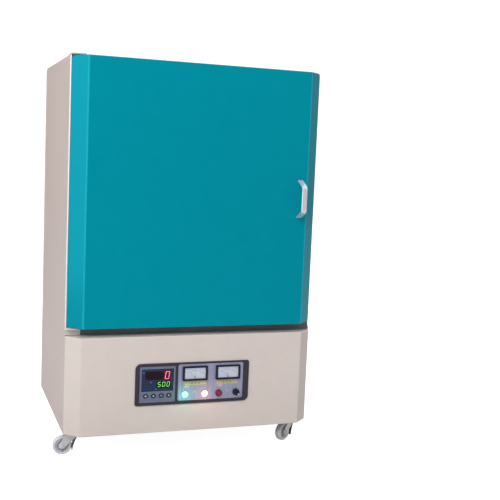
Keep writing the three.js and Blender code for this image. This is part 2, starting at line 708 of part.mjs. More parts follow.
function buildDoorInsulation() {
  const front = FRONT + SHEET + GAP;
  const rear = DOOR_BACK - SHEET - GAP;
  const slab = taperedBlock(PLUG_HALF_W + PLUG_LAND, PLUG_HALF_H + PLUG_LAND, 0, front, rear);
  const neck = taperedBlock(PLUG_HALF_W, PLUG_HALF_H, 0, rear - 1, FACE + SHEET);
  const plug = taperedBlock(PLUG_HALF_W, PLUG_HALF_H, PLUG_TAPER, FACE + SHEET - 0.5, FACE + PLUG_DEPTH);
  return joined([slab, neck, plug]);
}

function buildDoorGasket() {
  const [front, rear] = [DOOR_BACK + GAP, FACE - GAP];
  const inner = roundedRect(0, CHAMBER_Z, 2 * (MOUTH_HALF_W + 3), 2 * (MOUTH_HALF_H + 3), 8);
  const outerW = 2 * (MOUTH_HALF_W + 3 + GASKET_W);
  const outerH = 2 * (MOUTH_HALF_H + 3 + GASKET_W);
  const outer = roundedRect(0, CHAMBER_Z, outerW, outerH, 8 + GASKET_W);
  return prismY(outer, front, rear, 4).subtract(prismY(inner, front - 1, rear + 1, 4));
}

// A flat bar bent into a D: two feet on the door, two slanted legs and a straight grip.
function buildDoorHandle() {
  const x = DOOR_HALF - HANDLE_INSET;
  const seat = FRONT - GAP;
  const out = FRONT - HANDLE_REACH;
  const [foot, grip] = [HANDLE_SPAN / 2 + HANDLE_T / 2, HANDLE_GRIP / 2];
  const middle = CHAMBER_Z + HANDLE_RISE;
  const bar = polygon([
    [seat, middle - foot],
    [seat - 4, middle - foot],
    [out + 4, middle - grip - 3],
    [out, middle - grip + 3],
    [out, middle + grip - 3],
    [out + 4, middle + grip + 3],
    [seat - 4, middle + foot],
    [seat, middle + foot],
    [seat, middle + foot - HANDLE_T],
    [seat - 6, middle + foot - HANDLE_T - 1],
    [out + HANDLE_T + 2, middle + grip - 2],
    [out + HANDLE_T, middle + grip - 6],
    [out + HANDLE_T, middle - grip + 6],
    [out + HANDLE_T + 2, middle - grip + 2],
    [seat - 6, middle - foot + HANDLE_T + 1],
    [seat, middle - foot + HANDLE_T],
  ]);
  return prismX(bar, x - HANDLE_W / 2, x + HANDLE_W / 2);
}

const HINGE_BLOCK_H = 18;
const BRACKET_W = 40;
const BRACKET_NOSE = 7;

// The block that fills the door's left corner and carries the pin; it follows the inside of the skin.
function buildHingeBlock(z0, z1) {
  const inset = SHEET + GAP;
  const plan = prismZ(frontPlan(DOOR_HALF, inset, DOOR_BACK + 1), z0, z1);
  const corner = block(-DOOR_HALF, -DOOR_HALF + 34, FRONT, DOOR_BACK - inset, z0 - 1, z1 + 1);
  const elevation = prismY(doorElevation(inset), FRONT - 1, DOOR_BACK + 1, 6);
  return plan.intersect(corner).intersect(elevation).subtract(hingePinHole(z0 - 1, z1 + 1));
}

// A plate that reaches over the door's corner, with a pin welded into it; `way` is the way the pin points.
function buildHingeBracket(plateZ, way, grip) {
  const back = grip > 0 ? FACE + grip : FACE - GAP;
  const plate = new THREE.Shape();
  plate.moveTo(-INNER_HALF, back);
  plate.lineTo(-INNER_HALF, HINGE_Y);
  plate.absarc(HINGE_X, HINGE_Y, HINGE_X + INNER_HALF, Math.PI, Math.PI * 1.5, false);
  plate.lineTo(-HALF_W + BRACKET_W - BRACKET_NOSE, HINGE_Y - (HINGE_X + INNER_HALF));
  plate.lineTo(-HALF_W + BRACKET_W, HINGE_Y + 4);
  plate.lineTo(-HALF_W + BRACKET_W, back);
  const leaf = prismZ(plate, plateZ, plateZ + BRACKET_T, 6);
  const root = way < 0 ? plateZ + BRACKET_T : plateZ;
  const tip = way < 0 ? plateZ - 14 : plateZ + BRACKET_T + 14;
  const pin = post(HINGE_PIN_R, Math.min(root, tip), Math.max(root, tip), HINGE_X, HINGE_Y, 24);
  return leaf.add(pin);
}

function buildTopBracket() {
  return buildHingeBracket(BODY_TOP + GAP, -1, 42);
}

function buildBottomBracket() {
  const plateZ = DOOR_BOTTOM - DOOR_DROP - GAP - BRACKET_T;
  const leaf = buildHingeBracket(plateZ, 1, 0);
  const [y0, y1] = [FACE - GAP - BRACKET_T, FACE - GAP];
  const upstand = block(-INNER_HALF, -HALF_W + BRACKET_W, y0, y1, PLINTH_TOP + 1, plateZ + BRACKET_T);
  return leaf.add(upstand);
}

const MAGNET_W = 18;
const MAGNET_H = 46;

function buildCatchMagnet() {
  const x = DOOR_HALF - 24;
  return block(
    x - MAGNET_W / 2, x + MAGNET_W / 2, DOOR_BACK + 0.5, FACE - GAP,
    CHAMBER_Z - MAGNET_H / 2, CHAMBER_Z + MAGNET_H / 2,
  );
}

addPart('door_skin', buildDoorSkin(), 'door_paint');
addPart('door_back_plate', buildDoorBackPlate(), 'cabinet_paint');
addPart('door_insulation', buildDoorInsulation(), 'fibre_board');
addPart('door_gasket', buildDoorGasket(), 'fibre_board');
addPart('door_handle', buildDoorHandle(), 'bright_handle');
const blockInset = SHEET + GAP;
addPart(
  'door_hinge_block_top',
  buildHingeBlock(DOOR_TOP - blockInset - HINGE_BLOCK_H, DOOR_TOP - blockInset),
  'zinc_plate',
);
addPart(
  'door_hinge_block_bottom',
  buildHingeBlock(DOOR_BOTTOM + blockInset, DOOR_BOTTOM + blockInset + HINGE_BLOCK_H),
  'zinc_plate',
);
addPart('hinge_bracket_top', buildTopBracket(), 'cabinet_paint');
addPart('hinge_bracket_bottom', buildBottomBracket(), 'cabinet_paint');
addPart('catch_magnet', buildCatchMagnet(), 'black_plastic');

// ---- Control panel --------------------------------------------------------------------------------------
const BEZEL_BACK = FRONT - GAP;
const BEZEL_FRONT = BEZEL_BACK - BEZEL_PROUD;
const BIG_R = 15;
const BEZEL_FLARE = 1.6;
const SMALL_R = 6;
const CASE_FRONT = BEZEL_FRONT - 1.2;
const FACE_PLATE_FRONT = BEZEL_BACK - 2;
const METER_XS = [
  PLATE_X - PLATE_W / 2 + METER_MARGIN_LEFT + METER_W / 2,
  PLATE_X + PLATE_W / 2 - METER_MARGIN_RIGHT - METER_W / 2,
];
const METER_Z = PLATE_Z + PLATE_H / 2 - 5.5 - METER_H / 2;
const METER_BODY_W = METER_W - 8;
const METER_BODY_H = METER_H - 6;
const CONTROL_Z = PANEL_Z - CONTROLLER / 2 + 17;
const GREEN_X = METER_XS[0] - 26.3;
const AMBER_X = METER_XS[0] + 28.9;
const RED_X = METER_XS[1] - 24.6;
const KNOB_X = METER_XS[1] + 25.5;
const BARREL_R = 6;

function buildBezel() {
  const width = PANEL_W + 2 * BEZEL_FLARE;
  const height = PANEL_H + 2 * BEZEL_FLARE;
  const outer = roundedRect(PANEL_X, PANEL_Z, width, height, [SMALL_R, BIG_R, SMALL_R, BIG_R]);
  const opening = CONTROLLER + 2 * GAP;
  const controllerHole = roundedRect(CONTROLLER_X, PANEL_Z, opening, opening, 3);
  const plateHole = roundedRect(PLATE_X, PLATE_Z, PLATE_W + 2 * GAP, PLATE_H + 2 * GAP, 5);
  return prismY(outer, BEZEL_FRONT, BEZEL_BACK, 5)
    .subtract(prismY(controllerHole, BEZEL_FRONT - 1, BEZEL_BACK + 1, 2))
    .subtract(prismY(plateHole, BEZEL_FRONT - 1, BEZEL_BACK + 1, 2));
}

function buildInstrumentPlate() {
  const plate = prismY(roundedRect(PLATE_X, PLATE_Z, PLATE_W, PLATE_H, 5), FACE_PLATE_FRONT, BEZEL_BACK, 3);
  const cuts = [];
  for (const x of METER_XS) {
    const hole = roundedRect(x, METER_Z, METER_BODY_W + 1, METER_BODY_H + 1, 1);
    cuts.push(prismY(hole, FACE_PLATE_FRONT - 1, BEZEL_BACK + 1, 1));
  }
  for (const x of [GREEN_X, AMBER_X, RED_X, KNOB_X]) {
    cuts.push(rod(BARREL_R + 0.5, FACE_PLATE_FRONT - 1, BEZEL_BACK + 1, x, CONTROL_Z, 16));
  }
  return plate.subtract(joined(cuts));
}

const KEY_BAND = 30;
const WINDOW_W = CONTROLLER - 9;
const WINDOW_H = CONTROLLER - KEY_BAND - 6;
const WINDOW_Z = PANEL_Z + CONTROLLER / 2 - 6 - WINDOW_H / 2;
const KEY_W = 15;
const KEY_H = 12.5;
const KEY_PITCH = (CONTROLLER - 11.6) / 4;
const KEY_Z = PANEL_Z - CONTROLLER / 2 + 17.8;
const KEY_TRAVEL = 1;
const KEY_XS = [-1.5, -0.5, 0.5, 1.5].map((step) => CONTROLLER_X + step * KEY_PITCH);

function oval(x, width, height) {
  const shape = new THREE.Shape();
  shape.absellipse(x, KEY_Z, width / 2, height / 2, 0, Math.PI * 2, false, 0);
  return shape;
}

function buildControllerCase() {
  const flange = roundedRect(CONTROLLER_X, PANEL_Z, CONTROLLER, CONTROLLER, 3);
  const body = roundedRect(CONTROLLER_X, PANEL_Z, CASE_SIZE, CASE_SIZE, 1);
  const pocket = roundedRect(CONTROLLER_X, WINDOW_Z, WINDOW_W + 2 * GAP, WINDOW_H + 2 * GAP, 1.5);
  const solid = prismY(flange, CASE_FRONT, BEZEL_BACK, 2)
    .add(prismY(body, BEZEL_BACK - 1, FRONT + CONTROLLER_DEPTH, 1))
    .subtract(prismY(pocket, CASE_FRONT - 1, CASE_FRONT + 2.4, 2));
  const wells = KEY_XS.map((x) => {
    return prismY(oval(x, KEY_W + 2 * GAP, KEY_H + 2 * GAP), CASE_FRONT - 1, CASE_FRONT + 6.5, 5);
  });
  return solid.subtract(joined(wells));
}

function buildControllerWindow() {
  const glass = roundedRect(CONTROLLER_X, WINDOW_Z, WINDOW_W, WINDOW_H, 1.2);
  return prismY(glass, CASE_FRONT + 0.3, CASE_FRONT + 2.1, 2);
}

function buildMeter(x) {
  const front = FACE_PLATE_FRONT - GAP - METER_PROUD;
  const frame = roundedRect(x, METER_Z, METER_W, METER_H, 1.5);
  const body = roundedRect(x, METER_Z, METER_BODY_W, METER_BODY_H, 1);
  const dial = roundedRect(x, METER_Z + 0.3, METER_W - 10.5, METER_H - 9, 1);
  return prismY(frame, front, FACE_PLATE_FRONT - GAP, 2)
    .add(prismY(body, FACE_PLATE_FRONT - 1, FRONT + 34, 1))
    .subtract(prismY(dial, front - 1, front + 4, 2));
}

const NEEDLE_PIVOT_Z = METER_Z - METER_H / 2 + 8;
const NEEDLE_L = 20;
const NEEDLE_REST = 45;

// A pointer standing up from its pivot, leant over to the left where the scale reads zero.
function buildNeedle(x) {
  const dialFloor = FACE_PLATE_FRONT - GAP - METER_PROUD + 4;
  const hub = rod(2.2, dialFloor - 2.4, dialFloor - GAP, 0, 0, 12);
  const pointer = polygon([[-0.7, 0], [0.7, 0], [0.35, NEEDLE_L], [-0.35, NEEDLE_L]]);
  const blade = prismY(pointer, dialFloor - 2, dialFloor - 1.4);
  const lean = -NEEDLE_REST;
  return hub.add(blade).rotate([0, lean, 0]).translate([x, 0, NEEDLE_PIVOT_Z]);
}

function buildLamp(x) {
  const back = FACE_PLATE_FRONT - GAP;
  const profile = [
    [0, -26],
    [BARREL_R, -26],
    [BARREL_R, 0],
    [LAMP_R, 0],
    [LAMP_R, 2],
    [LAMP_R * 0.82, 4.6],
    [LAMP_R * 0.45, 6.2],
    [0, 6.7],
  ];
  return facingFront(turned(profile, 20), x, back, CONTROL_Z);
}

function buildPushButton() {
  const back = FACE_PLATE_FRONT - GAP - BUTTON_TRAVEL;
  const profile = [
    [0, -20],
    [BARREL_R - 1, -20],
    [BARREL_R - 1, 0],
    [BUTTON_R, 0],
    [BUTTON_R, 3],
    [BUTTON_R - 1.2, 4.4],
    [0, 4.8],
  ];
  return facingFront(turned(profile, 20), RED_X, back, CONTROL_Z);
}

function buildSelectorKnob() {
  const back = FACE_PLATE_FRONT - GAP;
  const profile = [
    [0, -18],
    [BARREL_R - 2, -18],
    [BARREL_R - 2, 0],
    [KNOB_R, 0],
    [KNOB_R, 3],
    [KNOB_R - 1.6, 11],
    [KNOB_R - 2.6, 12],
    [0, 12],
  ];
  const body = facingFront(turned(profile, 24), KNOB_X, back, CONTROL_Z);
  const ridge = block(-1.6, 1.6, back - 14, back - 6, -KNOB_R + 1, KNOB_R - 1);
  return body.add(ridge.rotate([0, -45, 0]).translate([KNOB_X, 0, CONTROL_Z]));
}

const SINK_W = 120;
const SINK_L = 130;
const SINK_LEFT = 120;
const SINK_FINS = 7;
const FIN_T = 4;
const FIN_H = 42;
const SINK_PLATE = 8;
const MODULE_H = 30;

// The power controller that feeds the elements: a finned heat sink with its module on top.
function buildPowerModule() {
  const [x0, x1] = [SINK_LEFT, SINK_LEFT + SINK_W];
  const [y0, y1] = [0, SINK_L];
  const floor = CASTOR_H + ANGLE_T + GAP + SHEET + GAP;
  const finTop = floor + SINK_PLATE + FIN_H;
  const pitch = (SINK_W - FIN_T) / (SINK_FINS - 1);
  const pieces = [block(x0, x1, y0, y1, floor, floor + SINK_PLATE)];
  for (let i = 0; i < SINK_FINS; i++) {
    const x = x0 + i * pitch;
    pieces.push(block(x, x + FIN_T, y0, y1, floor + SINK_PLATE - 1, finTop));
  }
  pieces.push(block(x0, x1, y0, y1, finTop - 1, finTop + 5));
  pieces.push(block(x0 + 30, x1 - 30, y0 + 25, y1 - 15, finTop + 4, finTop + 5 + MODULE_H));
  return joined(pieces);
}

addPart('panel_bezel', buildBezel(), 'bezel_plastic');
addPart('instrument_plate', buildInstrumentPlate(), 'instrument_face');
addPart('controller_case', buildControllerCase(), 'controller_plastic');
addPart('controller_window', buildControllerWindow(), 'display_window');
KEY_XS.forEach((x, index) => {
  const key = prismY(oval(x, KEY_W, KEY_H), CASE_FRONT - KEY_TRAVEL - 0.2, CASE_FRONT + 4.5, 5);
  addPart(`controller_key_${index + 1}`, key, 'black_plastic');
});
['ammeter', 'voltmeter'].forEach((name, index) => {
  addPart(name, buildMeter(METER_XS[index]), 'black_plastic');
  addPart(`${name}_needle`, buildNeedle(METER_XS[index]), 'needle_red');
});
addPart('green_lamp', buildLamp(GREEN_X), 'green_lens');
addPart('amber_lamp', buildLamp(AMBER_X), 'amber_lens');
addPart('red_push_button', buildPushButton(), 'red_button');
addPart('selector_knob', buildSelectorKnob(), 'black_plastic');
addPart('power_module', buildPowerModule(), 'bare_steel');

export default kiln;
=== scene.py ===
# A front-loading electric pottery kiln on four castors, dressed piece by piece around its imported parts.
# Metres; +X is to the kiln's right, +Y to its rear and +Z up, with the floor at zero.

import json
import math

import bmesh
import bpy
from mathutils import Matrix, Vector

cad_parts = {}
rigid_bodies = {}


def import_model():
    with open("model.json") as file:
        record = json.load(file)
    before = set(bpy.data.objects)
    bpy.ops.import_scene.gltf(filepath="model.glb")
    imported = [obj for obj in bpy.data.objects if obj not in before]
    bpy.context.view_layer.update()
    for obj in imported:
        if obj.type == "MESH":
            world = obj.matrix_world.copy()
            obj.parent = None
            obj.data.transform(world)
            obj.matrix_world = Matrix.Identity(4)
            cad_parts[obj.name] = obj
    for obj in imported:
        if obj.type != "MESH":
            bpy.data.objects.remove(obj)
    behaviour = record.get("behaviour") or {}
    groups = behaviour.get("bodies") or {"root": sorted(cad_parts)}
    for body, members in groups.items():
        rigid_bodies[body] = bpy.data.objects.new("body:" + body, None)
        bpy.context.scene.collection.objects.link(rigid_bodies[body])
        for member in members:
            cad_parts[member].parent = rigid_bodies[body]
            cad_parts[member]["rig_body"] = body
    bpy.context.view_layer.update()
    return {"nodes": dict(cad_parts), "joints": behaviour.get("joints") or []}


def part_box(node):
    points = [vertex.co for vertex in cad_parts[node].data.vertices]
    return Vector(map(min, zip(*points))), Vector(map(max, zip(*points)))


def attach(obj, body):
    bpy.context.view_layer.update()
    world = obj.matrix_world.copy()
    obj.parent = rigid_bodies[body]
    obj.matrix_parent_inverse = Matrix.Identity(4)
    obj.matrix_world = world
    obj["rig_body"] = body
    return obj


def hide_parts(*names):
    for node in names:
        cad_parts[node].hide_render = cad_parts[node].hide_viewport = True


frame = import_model()
nodes = frame["nodes"]

# ---- Studio ----
# A pale floor and a white backdrop, a broad key lamp at the front left and a weaker one overhead. A
# cool panel at the left shows only in the gloss. The camera stands left of the middle, a little high.
WORLD_STRENGTH = 1.16
FLOOR_HALF = 9.0
FLOOR_SHINE = 0.93
LENS_MM, SENSOR_MM = 63.6, 36.0
CAMERA_PLACE = (-0.6720, -2.4928, 0.8109)
YAW, PITCH, ROLL = 0.3501, -0.1056, 0.043
bpy.context.scene.view_settings.view_transform = "Standard"


def lay(tree, kind, inputs=None, **settings):
    """Adds one shader node, sets what it is, and joins or sets its inputs."""
    node = tree.nodes.new("ShaderNode" + kind)
    for key, value in settings.items():
        setattr(node, key, value)
    for key, value in (inputs or {}).items():
        if isinstance(value, bpy.types.NodeSocket):
            tree.links.new(value, node.inputs[key])
        else:
            node.inputs[key].default_value = value
    return node


def colour(rgb):
    """The value that a colour socket takes, opaque."""
    return (rgb[0], rgb[1], rgb[2], 1.0)


def placed(name, data):
    """A new object that stands in the scene."""
    thing = bpy.data.objects.new(name, data)
    bpy.context.scene.collection.objects.link(thing)
    return thing


def mixed(tree, factor, first, second):
    """A colour between two colours, as far along as the factor says."""
    return lay(tree, "Mix", {0: factor, 6: first, 7: second}, data_type="RGBA").outputs[2]


room = bpy.data.worlds.new("studio_room")
room.use_nodes = True
bpy.context.scene.world = room
air = room.node_tree
for node in list(air.nodes):
    air.nodes.remove(node)
way = lay(air, "TexCoord")
axes = lay(air, "SeparateXYZ", {"Vector": way.outputs["Generated"]})
leftness = lay(air, "MapRange", {
    "Value": axes.outputs["X"], "From Min": 0.9, "From Max": -0.9, "To Min": 0.0, "To Max": 1.0})
height = lay(air, "MapRange", {
    "Value": axes.outputs["Z"], "From Min": -0.1, "From Max": 0.7, "To Min": 0.0, "To Max": 1.0})
walls = mixed(air, leftness.outputs["Result"], colour((0.21, 0.185, 0.165)), colour((0.46, 0.38, 0.35)))
room_tint = mixed(air, height.outputs["Result"], walls, colour((0.62, 0.62, 0.64)))
eye = lay(air, "LightPath")
seen = mixed(air, eye.outputs["Is Camera Ray"], room_tint, colour((1.0, 1.0, 1.0)))
sky = lay(air, "Background", {"Color": seen, "Strength": WORLD_STRENGTH})
lay(air, "OutputWorld", {"Surface": sky.outputs["Background"]})


def soft_lamp(name, place, target, size, watts, tint, mirrored=False, lights=True):
    """A round lamp aimed at a target; mirrored shows it in gloss, lights lets it light matt colour."""
    data = bpy.data.lights.new(name, "AREA")
    data.shape = "DISK"
    data.size = size
    data.energy = watts
    data.color = tint
    lamp = placed(name, data)
    aim = Vector(target) - Vector(place)
    lamp.matrix_world = Matrix.Translation(place) @ aim.to_track_quat("-Z", "Y").to_matrix().to_4x4()
    lamp.visible_glossy = mirrored
    lamp.visible_diffuse = lights


soft_lamp("key_lamp", (-1.7, -2.7, 2.7), (-0.1, -0.2, 0.75), 2.0, 74.0, (1.0, 0.985, 0.97))
soft_lamp("top_lamp", (0.6, 1.2, 3.4), (0.0, 0.0, 0.6), 2.0, 18.0, (1.0, 1.0, 1.0), mirrored=True)
soft_lamp("left_panel", (-3.0, -0.9, 1.0), (-0.3, -0.25, 0.8), 2.4, 34.0, (0.60, 0.96, 1.0),
          mirrored=True, lights=False)

ahead = Vector((math.sin(YAW) * math.cos(PITCH), math.cos(YAW) * math.cos(PITCH), math.sin(PITCH)))
level = Vector((math.cos(YAW), -math.sin(YAW), 0.0))
above = level.cross(ahead)
right = level * math.cos(ROLL) + above * math.sin(ROLL)
up = above * math.cos(ROLL) - level * math.sin(ROLL)
lens = bpy.data.cameras.new("studio_camera")
lens.lens = LENS_MM
lens.sensor_width = SENSOR_MM
lens.clip_end = 60.0
camera = placed("studio_camera", lens)
turn = Matrix((right, up, -ahead)).transposed().to_4x4()
camera.matrix_world = Matrix.Translation(CAMERA_PLACE) @ turn
bpy.context.scene.camera = camera

floor_mesh = bpy.data.meshes.new("studio_floor")
floor_mesh.from_pydata(
    [(-FLOOR_HALF, -FLOOR_HALF, 0), (FLOOR_HALF, -FLOOR_HALF, 0),
     (FLOOR_HALF, FLOOR_HALF, 0), (-FLOOR_HALF, FLOOR_HALF, 0)], [], [(0, 1, 2, 3)])
floor_paint = bpy.data.materials.new("floor_paint")
floor_paint.use_nodes = True
tree = floor_paint.node_tree
floor_shader = tree.nodes["Principled BSDF"]
speckle = lay(tree, "TexNoise", {"Scale": 9.0, "Detail": 3.0})
tone = mixed(tree, speckle.outputs["Fac"], colour((0.60, 0.60, 0.60)), colour((0.63, 0.625, 0.62)))
tree.links.new(tone, floor_shader.inputs["Base Color"])
eye = lay(tree, "LightPath")
bright = mixed(tree, eye.outputs["Is Camera Ray"], colour((0.0, 0.0, 0.0)), colour((1.0, 1.0, 1.0)))
tree.links.new(bright, floor_shader.inputs["Emission Color"])
for label, value in (("Emission Strength", FLOOR_SHINE), ("Roughness", 0.7), ("Specular IOR Level", 0.15)):
    floor_shader.inputs[label].default_value = value
floor_mesh.materials.append(floor_paint)
studio_floor = placed("studio_floor", floor_mesh)

# ---- Cabinet panels ----
# Folded 1.5 mm steel sheets, powder coated in a warm pale grey that is a little uneven, with fine
# orange peel, worn bends and some dust low down. The side sheets take a darker, warmer copy of that
# paint as painted shade, and the frame round the chamber mouth is coloured near-black as painted
# shade for the gap under the door. The sides and the rear are held by small screws.
BEND_R = 0.0022
SHEET_T = 0.0015
SHEET_EDGE_R = 0.0006
FLAT_WITHIN = math.radians(0.8)
SAME_PLACE = 1e-6
NO_SIZE = 1e-7
REAR_WITHIN = 1e-4
BENT_OVER = math.radians(20.0)
CUT_LEAD, CUT_BACK = 0.002, 0.010
CONTROLLER_LIP = 0.002
PLATE_LIP = 0.004
SIDE_X = 0.3425
REAR_Y = 0.262
SIDE_SCREW_R = 0.0026
SIDE_SCREW_YS, SIDE_SCREW_ZS = (-0.180, 0.225), (0.275, 0.110)
REAR_SCREW_R = 0.0040
REAR_EDGE_XS, REAR_ROW_XS = (-0.325, 0.325), (-0.325, -0.11, 0.11, 0.325)
REAR_EDGE_ZS, REAR_ROW_ZS = (0.395, 0.705), (0.085, 1.014)


def effect(name, inputs, outputs):
    """A shared node group with named inputs and outputs."""
    tree = bpy.data.node_groups.new(name, "ShaderNodeTree")
    for label, kind, value in inputs:
        socket = tree.interface.new_socket(label, in_out="INPUT", socket_type=kind)
        socket.default_value = value
    for label, kind in outputs:
        tree.interface.new_socket(label, in_out="OUTPUT", socket_type=kind)
    return tree, tree.nodes.new("NodeGroupInput"), tree.nodes.new("NodeGroupOutput")


# Slow uneven tone and a fine grain, both stretched the same way.
mottle, given, result = effect(
    "mottle",
    [("Size", "NodeSocketFloat", 30.0), ("Stretch", "NodeSocketVector", (1.0, 1.0, 1.0))],
    [("Tone", "NodeSocketFloat"), ("Height", "NodeSocketFloat")])
spot = lay(mottle, "TexCoord")
run = lay(mottle, "VectorMath",
          {0: spot.outputs["Object"], 1: given.outputs["Stretch"]}, operation="MULTIPLY")
slow = lay(mottle, "TexNoise",
           {"Vector": run.outputs[0], "Scale": given.outputs["Size"], "Detail": 3.0})
closer = lay(mottle, "Math", {0: given.outputs["Size"], 1: 11.0}, operation="MULTIPLY")
fine = lay(mottle, "TexNoise",
           {"Vector": run.outputs[0], "Scale": closer.outputs[0], "Detail": 2.0})
both = lay(mottle, "Math", {0: slow.outputs["Fac"], 1: fine.outputs["Fac"]}, operation="ADD")
tone = lay(mottle, "MapRange", {
    "Value": both.outputs[0], "From Min": 0.7, "From Max": 1.3, "To Min": 0.0, "To Max": 1.0})
mottle.links.new(tone.outputs["Result"], result.inputs["Tone"])
mottle.links.new(fine.outputs["Fac"], result.inputs["Height"])

# Dust that has settled near the floor, thinning out upwards in patches.
low_dust, given, result = effect(
    "low_dust", [("Reach", "NodeSocketFloat", 0.2), ("Amount", "NodeSocketFloat", 0.3)],
    [("Mask", "NodeSocketFloat")])
spot = lay(low_dust, "TexCoord")
lift = lay(low_dust, "SeparateXYZ", {"Vector": spot.outputs["Object"]})
fade = lay(low_dust, "MapRange", {
    "Value": lift.outputs["Z"], "From Min": given.outputs["Reach"], "From Max": 0.0,
    "To Min": 0.0, "To Max": given.outputs["Amount"]})
patch = lay(low_dust, "TexNoise",
            {"Vector": spot.outputs["Object"], "Scale": 14.0, "Detail": 4.0})
some = lay(low_dust, "Math",
           {0: fade.outputs["Result"], 1: patch.outputs["Fac"]}, operation="MULTIPLY")
low_dust.links.new(some.outputs[0], result.inputs["Mask"])

# Lightened edges where the rounded normal departs from the true one: rubbed wear on most finishes, a
# painted highlight on the door's bends.
edge_wear_and_highlight, given, result = effect(
    "edge_wear_and_highlight", [("Radius", "NodeSocketFloat", 0.001), ("Amount", "NodeSocketFloat", 0.3)],
    [("Mask", "NodeSocketFloat")])
rounded = lay(edge_wear_and_highlight, "Bevel", {"Radius": given.outputs["Radius"]}, samples=4)
true_way = lay(edge_wear_and_highlight, "NewGeometry")
agree = lay(edge_wear_and_highlight, "VectorMath",
            {0: rounded.outputs["Normal"], 1: true_way.outputs["Normal"]}, operation="DOT_PRODUCT")
edge_range = lay(edge_wear_and_highlight, "MapRange", {
    "Value": agree.outputs["Value"], "From Min": 0.97, "From Max": 0.75, "To Min": 0.0,
    "To Max": given.outputs["Amount"]})
edge_wear_and_highlight.links.new(edge_range.outputs["Result"], result.inputs["Mask"])


def finish(name, deep, pale, rough, size=30.0, stretch=(1.0, 1.0, 1.0), metal=0.0, spread=0.06,
           relief=0.15, depth=0.0002, dust=0.0, wear_and_highlight=0.0, edge_colour=(0.55, 0.55, 0.55), plain=None):
    """A finish with uneven tone, grain, lightened edges and dust; the lightened edges are wear on most
    finishes and a painted highlight on the door's bends; plain holds sockets that never change.
    """
    material = bpy.data.materials.new(name)
    material.use_nodes = True
    tree = material.node_tree
    shader = tree.nodes["Principled BSDF"]
    uneven = lay(tree, "Group", {"Size": size, "Stretch": stretch}, node_tree=mottle)
    tint = mixed(tree, uneven.outputs["Tone"], colour(deep), colour(pale))
    if wear_and_highlight:
        edge_mask = lay(tree, "Group", {"Radius": 0.0012, "Amount": wear_and_highlight}, node_tree=edge_wear_and_highlight)
        tint = mixed(tree, edge_mask.outputs["Mask"], tint, colour(edge_colour))
    if dust:
        dusty = lay(tree, "Group", {"Reach": 0.22, "Amount": dust}, node_tree=low_dust)
        tint = mixed(tree, dusty.outputs["Mask"], tint, colour((0.42, 0.37, 0.32)))
    gloss = lay(tree, "MapRange", {
        "Value": uneven.outputs["Tone"], "To Min": rough - spread, "To Max": rough + spread})
    grain = lay(tree, "Bump", {
        "Strength": relief, "Distance": depth, "Height": uneven.outputs["Height"]})
    tree.links.new(tint, shader.inputs["Base Color"])
    tree.links.new(gloss.outputs["Result"], shader.inputs["Roughness"])
    tree.links.new(grain.outputs["Normal"], shader.inputs["Normal"])
    shader.inputs["Metallic"].default_value = metal
    for label, value in (plain or {}).items():
        shader.inputs[label].default_value = value
    return material


def fit(name, mesh, material, body, stands_for=()):
    """Puts a mesh in the scene as a piece of the kiln."""
    mesh.materials.clear()
    mesh.materials.append(material)
    piece = placed(name, mesh)
    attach(piece, body)
    if stands_for:
        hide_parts(*stands_for)
    return piece


def worked_mesh(thing):
    """A copy of an object's mesh with its modifiers worked in."""
    bpy.context.view_layer.update()
    graph = bpy.context.evaluated_depsgraph_get()
    return bpy.data.meshes.new_from_object(thing.evaluated_get(graph))


def settled(piece):
    """Works a piece's modifiers into its mesh for good."""
    mesh = worked_mesh(piece)
    piece.modifiers.clear()
    piece.data = mesh


def smoothed(piece):
    """The same piece shaded round, with its flat faces kept flat."""
    for face in piece.data.polygons:
        face.use_smooth = True
    even = piece.modifiers.new("even_normals", "WEIGHTED_NORMAL")
    even.keep_sharp = False
    return piece


def round_ring(x, y, half_w, half_h, count):
    """The outline of a circle or an oval."""
    return [(x + half_w * math.cos(t), y + half_h * math.sin(t))
            for t in (2 * math.pi * i / count for i in range(count))]


def made(shape, name):
    """A mesh with the given shape in it."""
    mesh = bpy.data.meshes.new(name)
    shape.to_mesh(mesh)
    shape.free()
    return mesh


def skinned(name, *stacks):
    """Closed skins in one mesh: each is a stack of equal rings of points, flat at both ends."""
    shape = bmesh.new()
    for stack in stacks:
        rings = [[shape.verts.new(point) for point in ring] for ring in stack]
        for a, b in zip(rings, rings[1:]):
            for i in range(len(a)):
                j = (i + 1) % len(a)
                shape.faces.new((a[i], a[j], b[j], b[i]))
        shape.faces.new(rings[0])
        shape.faces.new(rings[-1])
    bmesh.ops.recalc_face_normals(shape, faces=shape.faces)
    return made(shape, name)


def soft_edged(node, material, width, segments=2, sharper_than=28.0, name=None):
    """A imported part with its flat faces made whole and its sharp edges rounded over."""
    shape = bmesh.new()
    shape.from_mesh(nodes[node].data)
    bmesh.ops.remove_doubles(shape, verts=shape.verts, dist=SAME_PLACE)
    bmesh.ops.dissolve_limit(shape, angle_limit=FLAT_WITHIN, verts=shape.verts, edges=shape.edges)
    name = name or node + "_piece"
    piece = fit(name, made(shape, name), material, nodes[node]["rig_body"], [node])
    rounding = piece.modifiers.new("rounded_edges", "BEVEL")
    rounding.width = width
    rounding.segments = segments
    rounding.limit_method = "ANGLE"
    rounding.angle_limit = math.radians(sharper_than)
    settled(smoothed(piece))


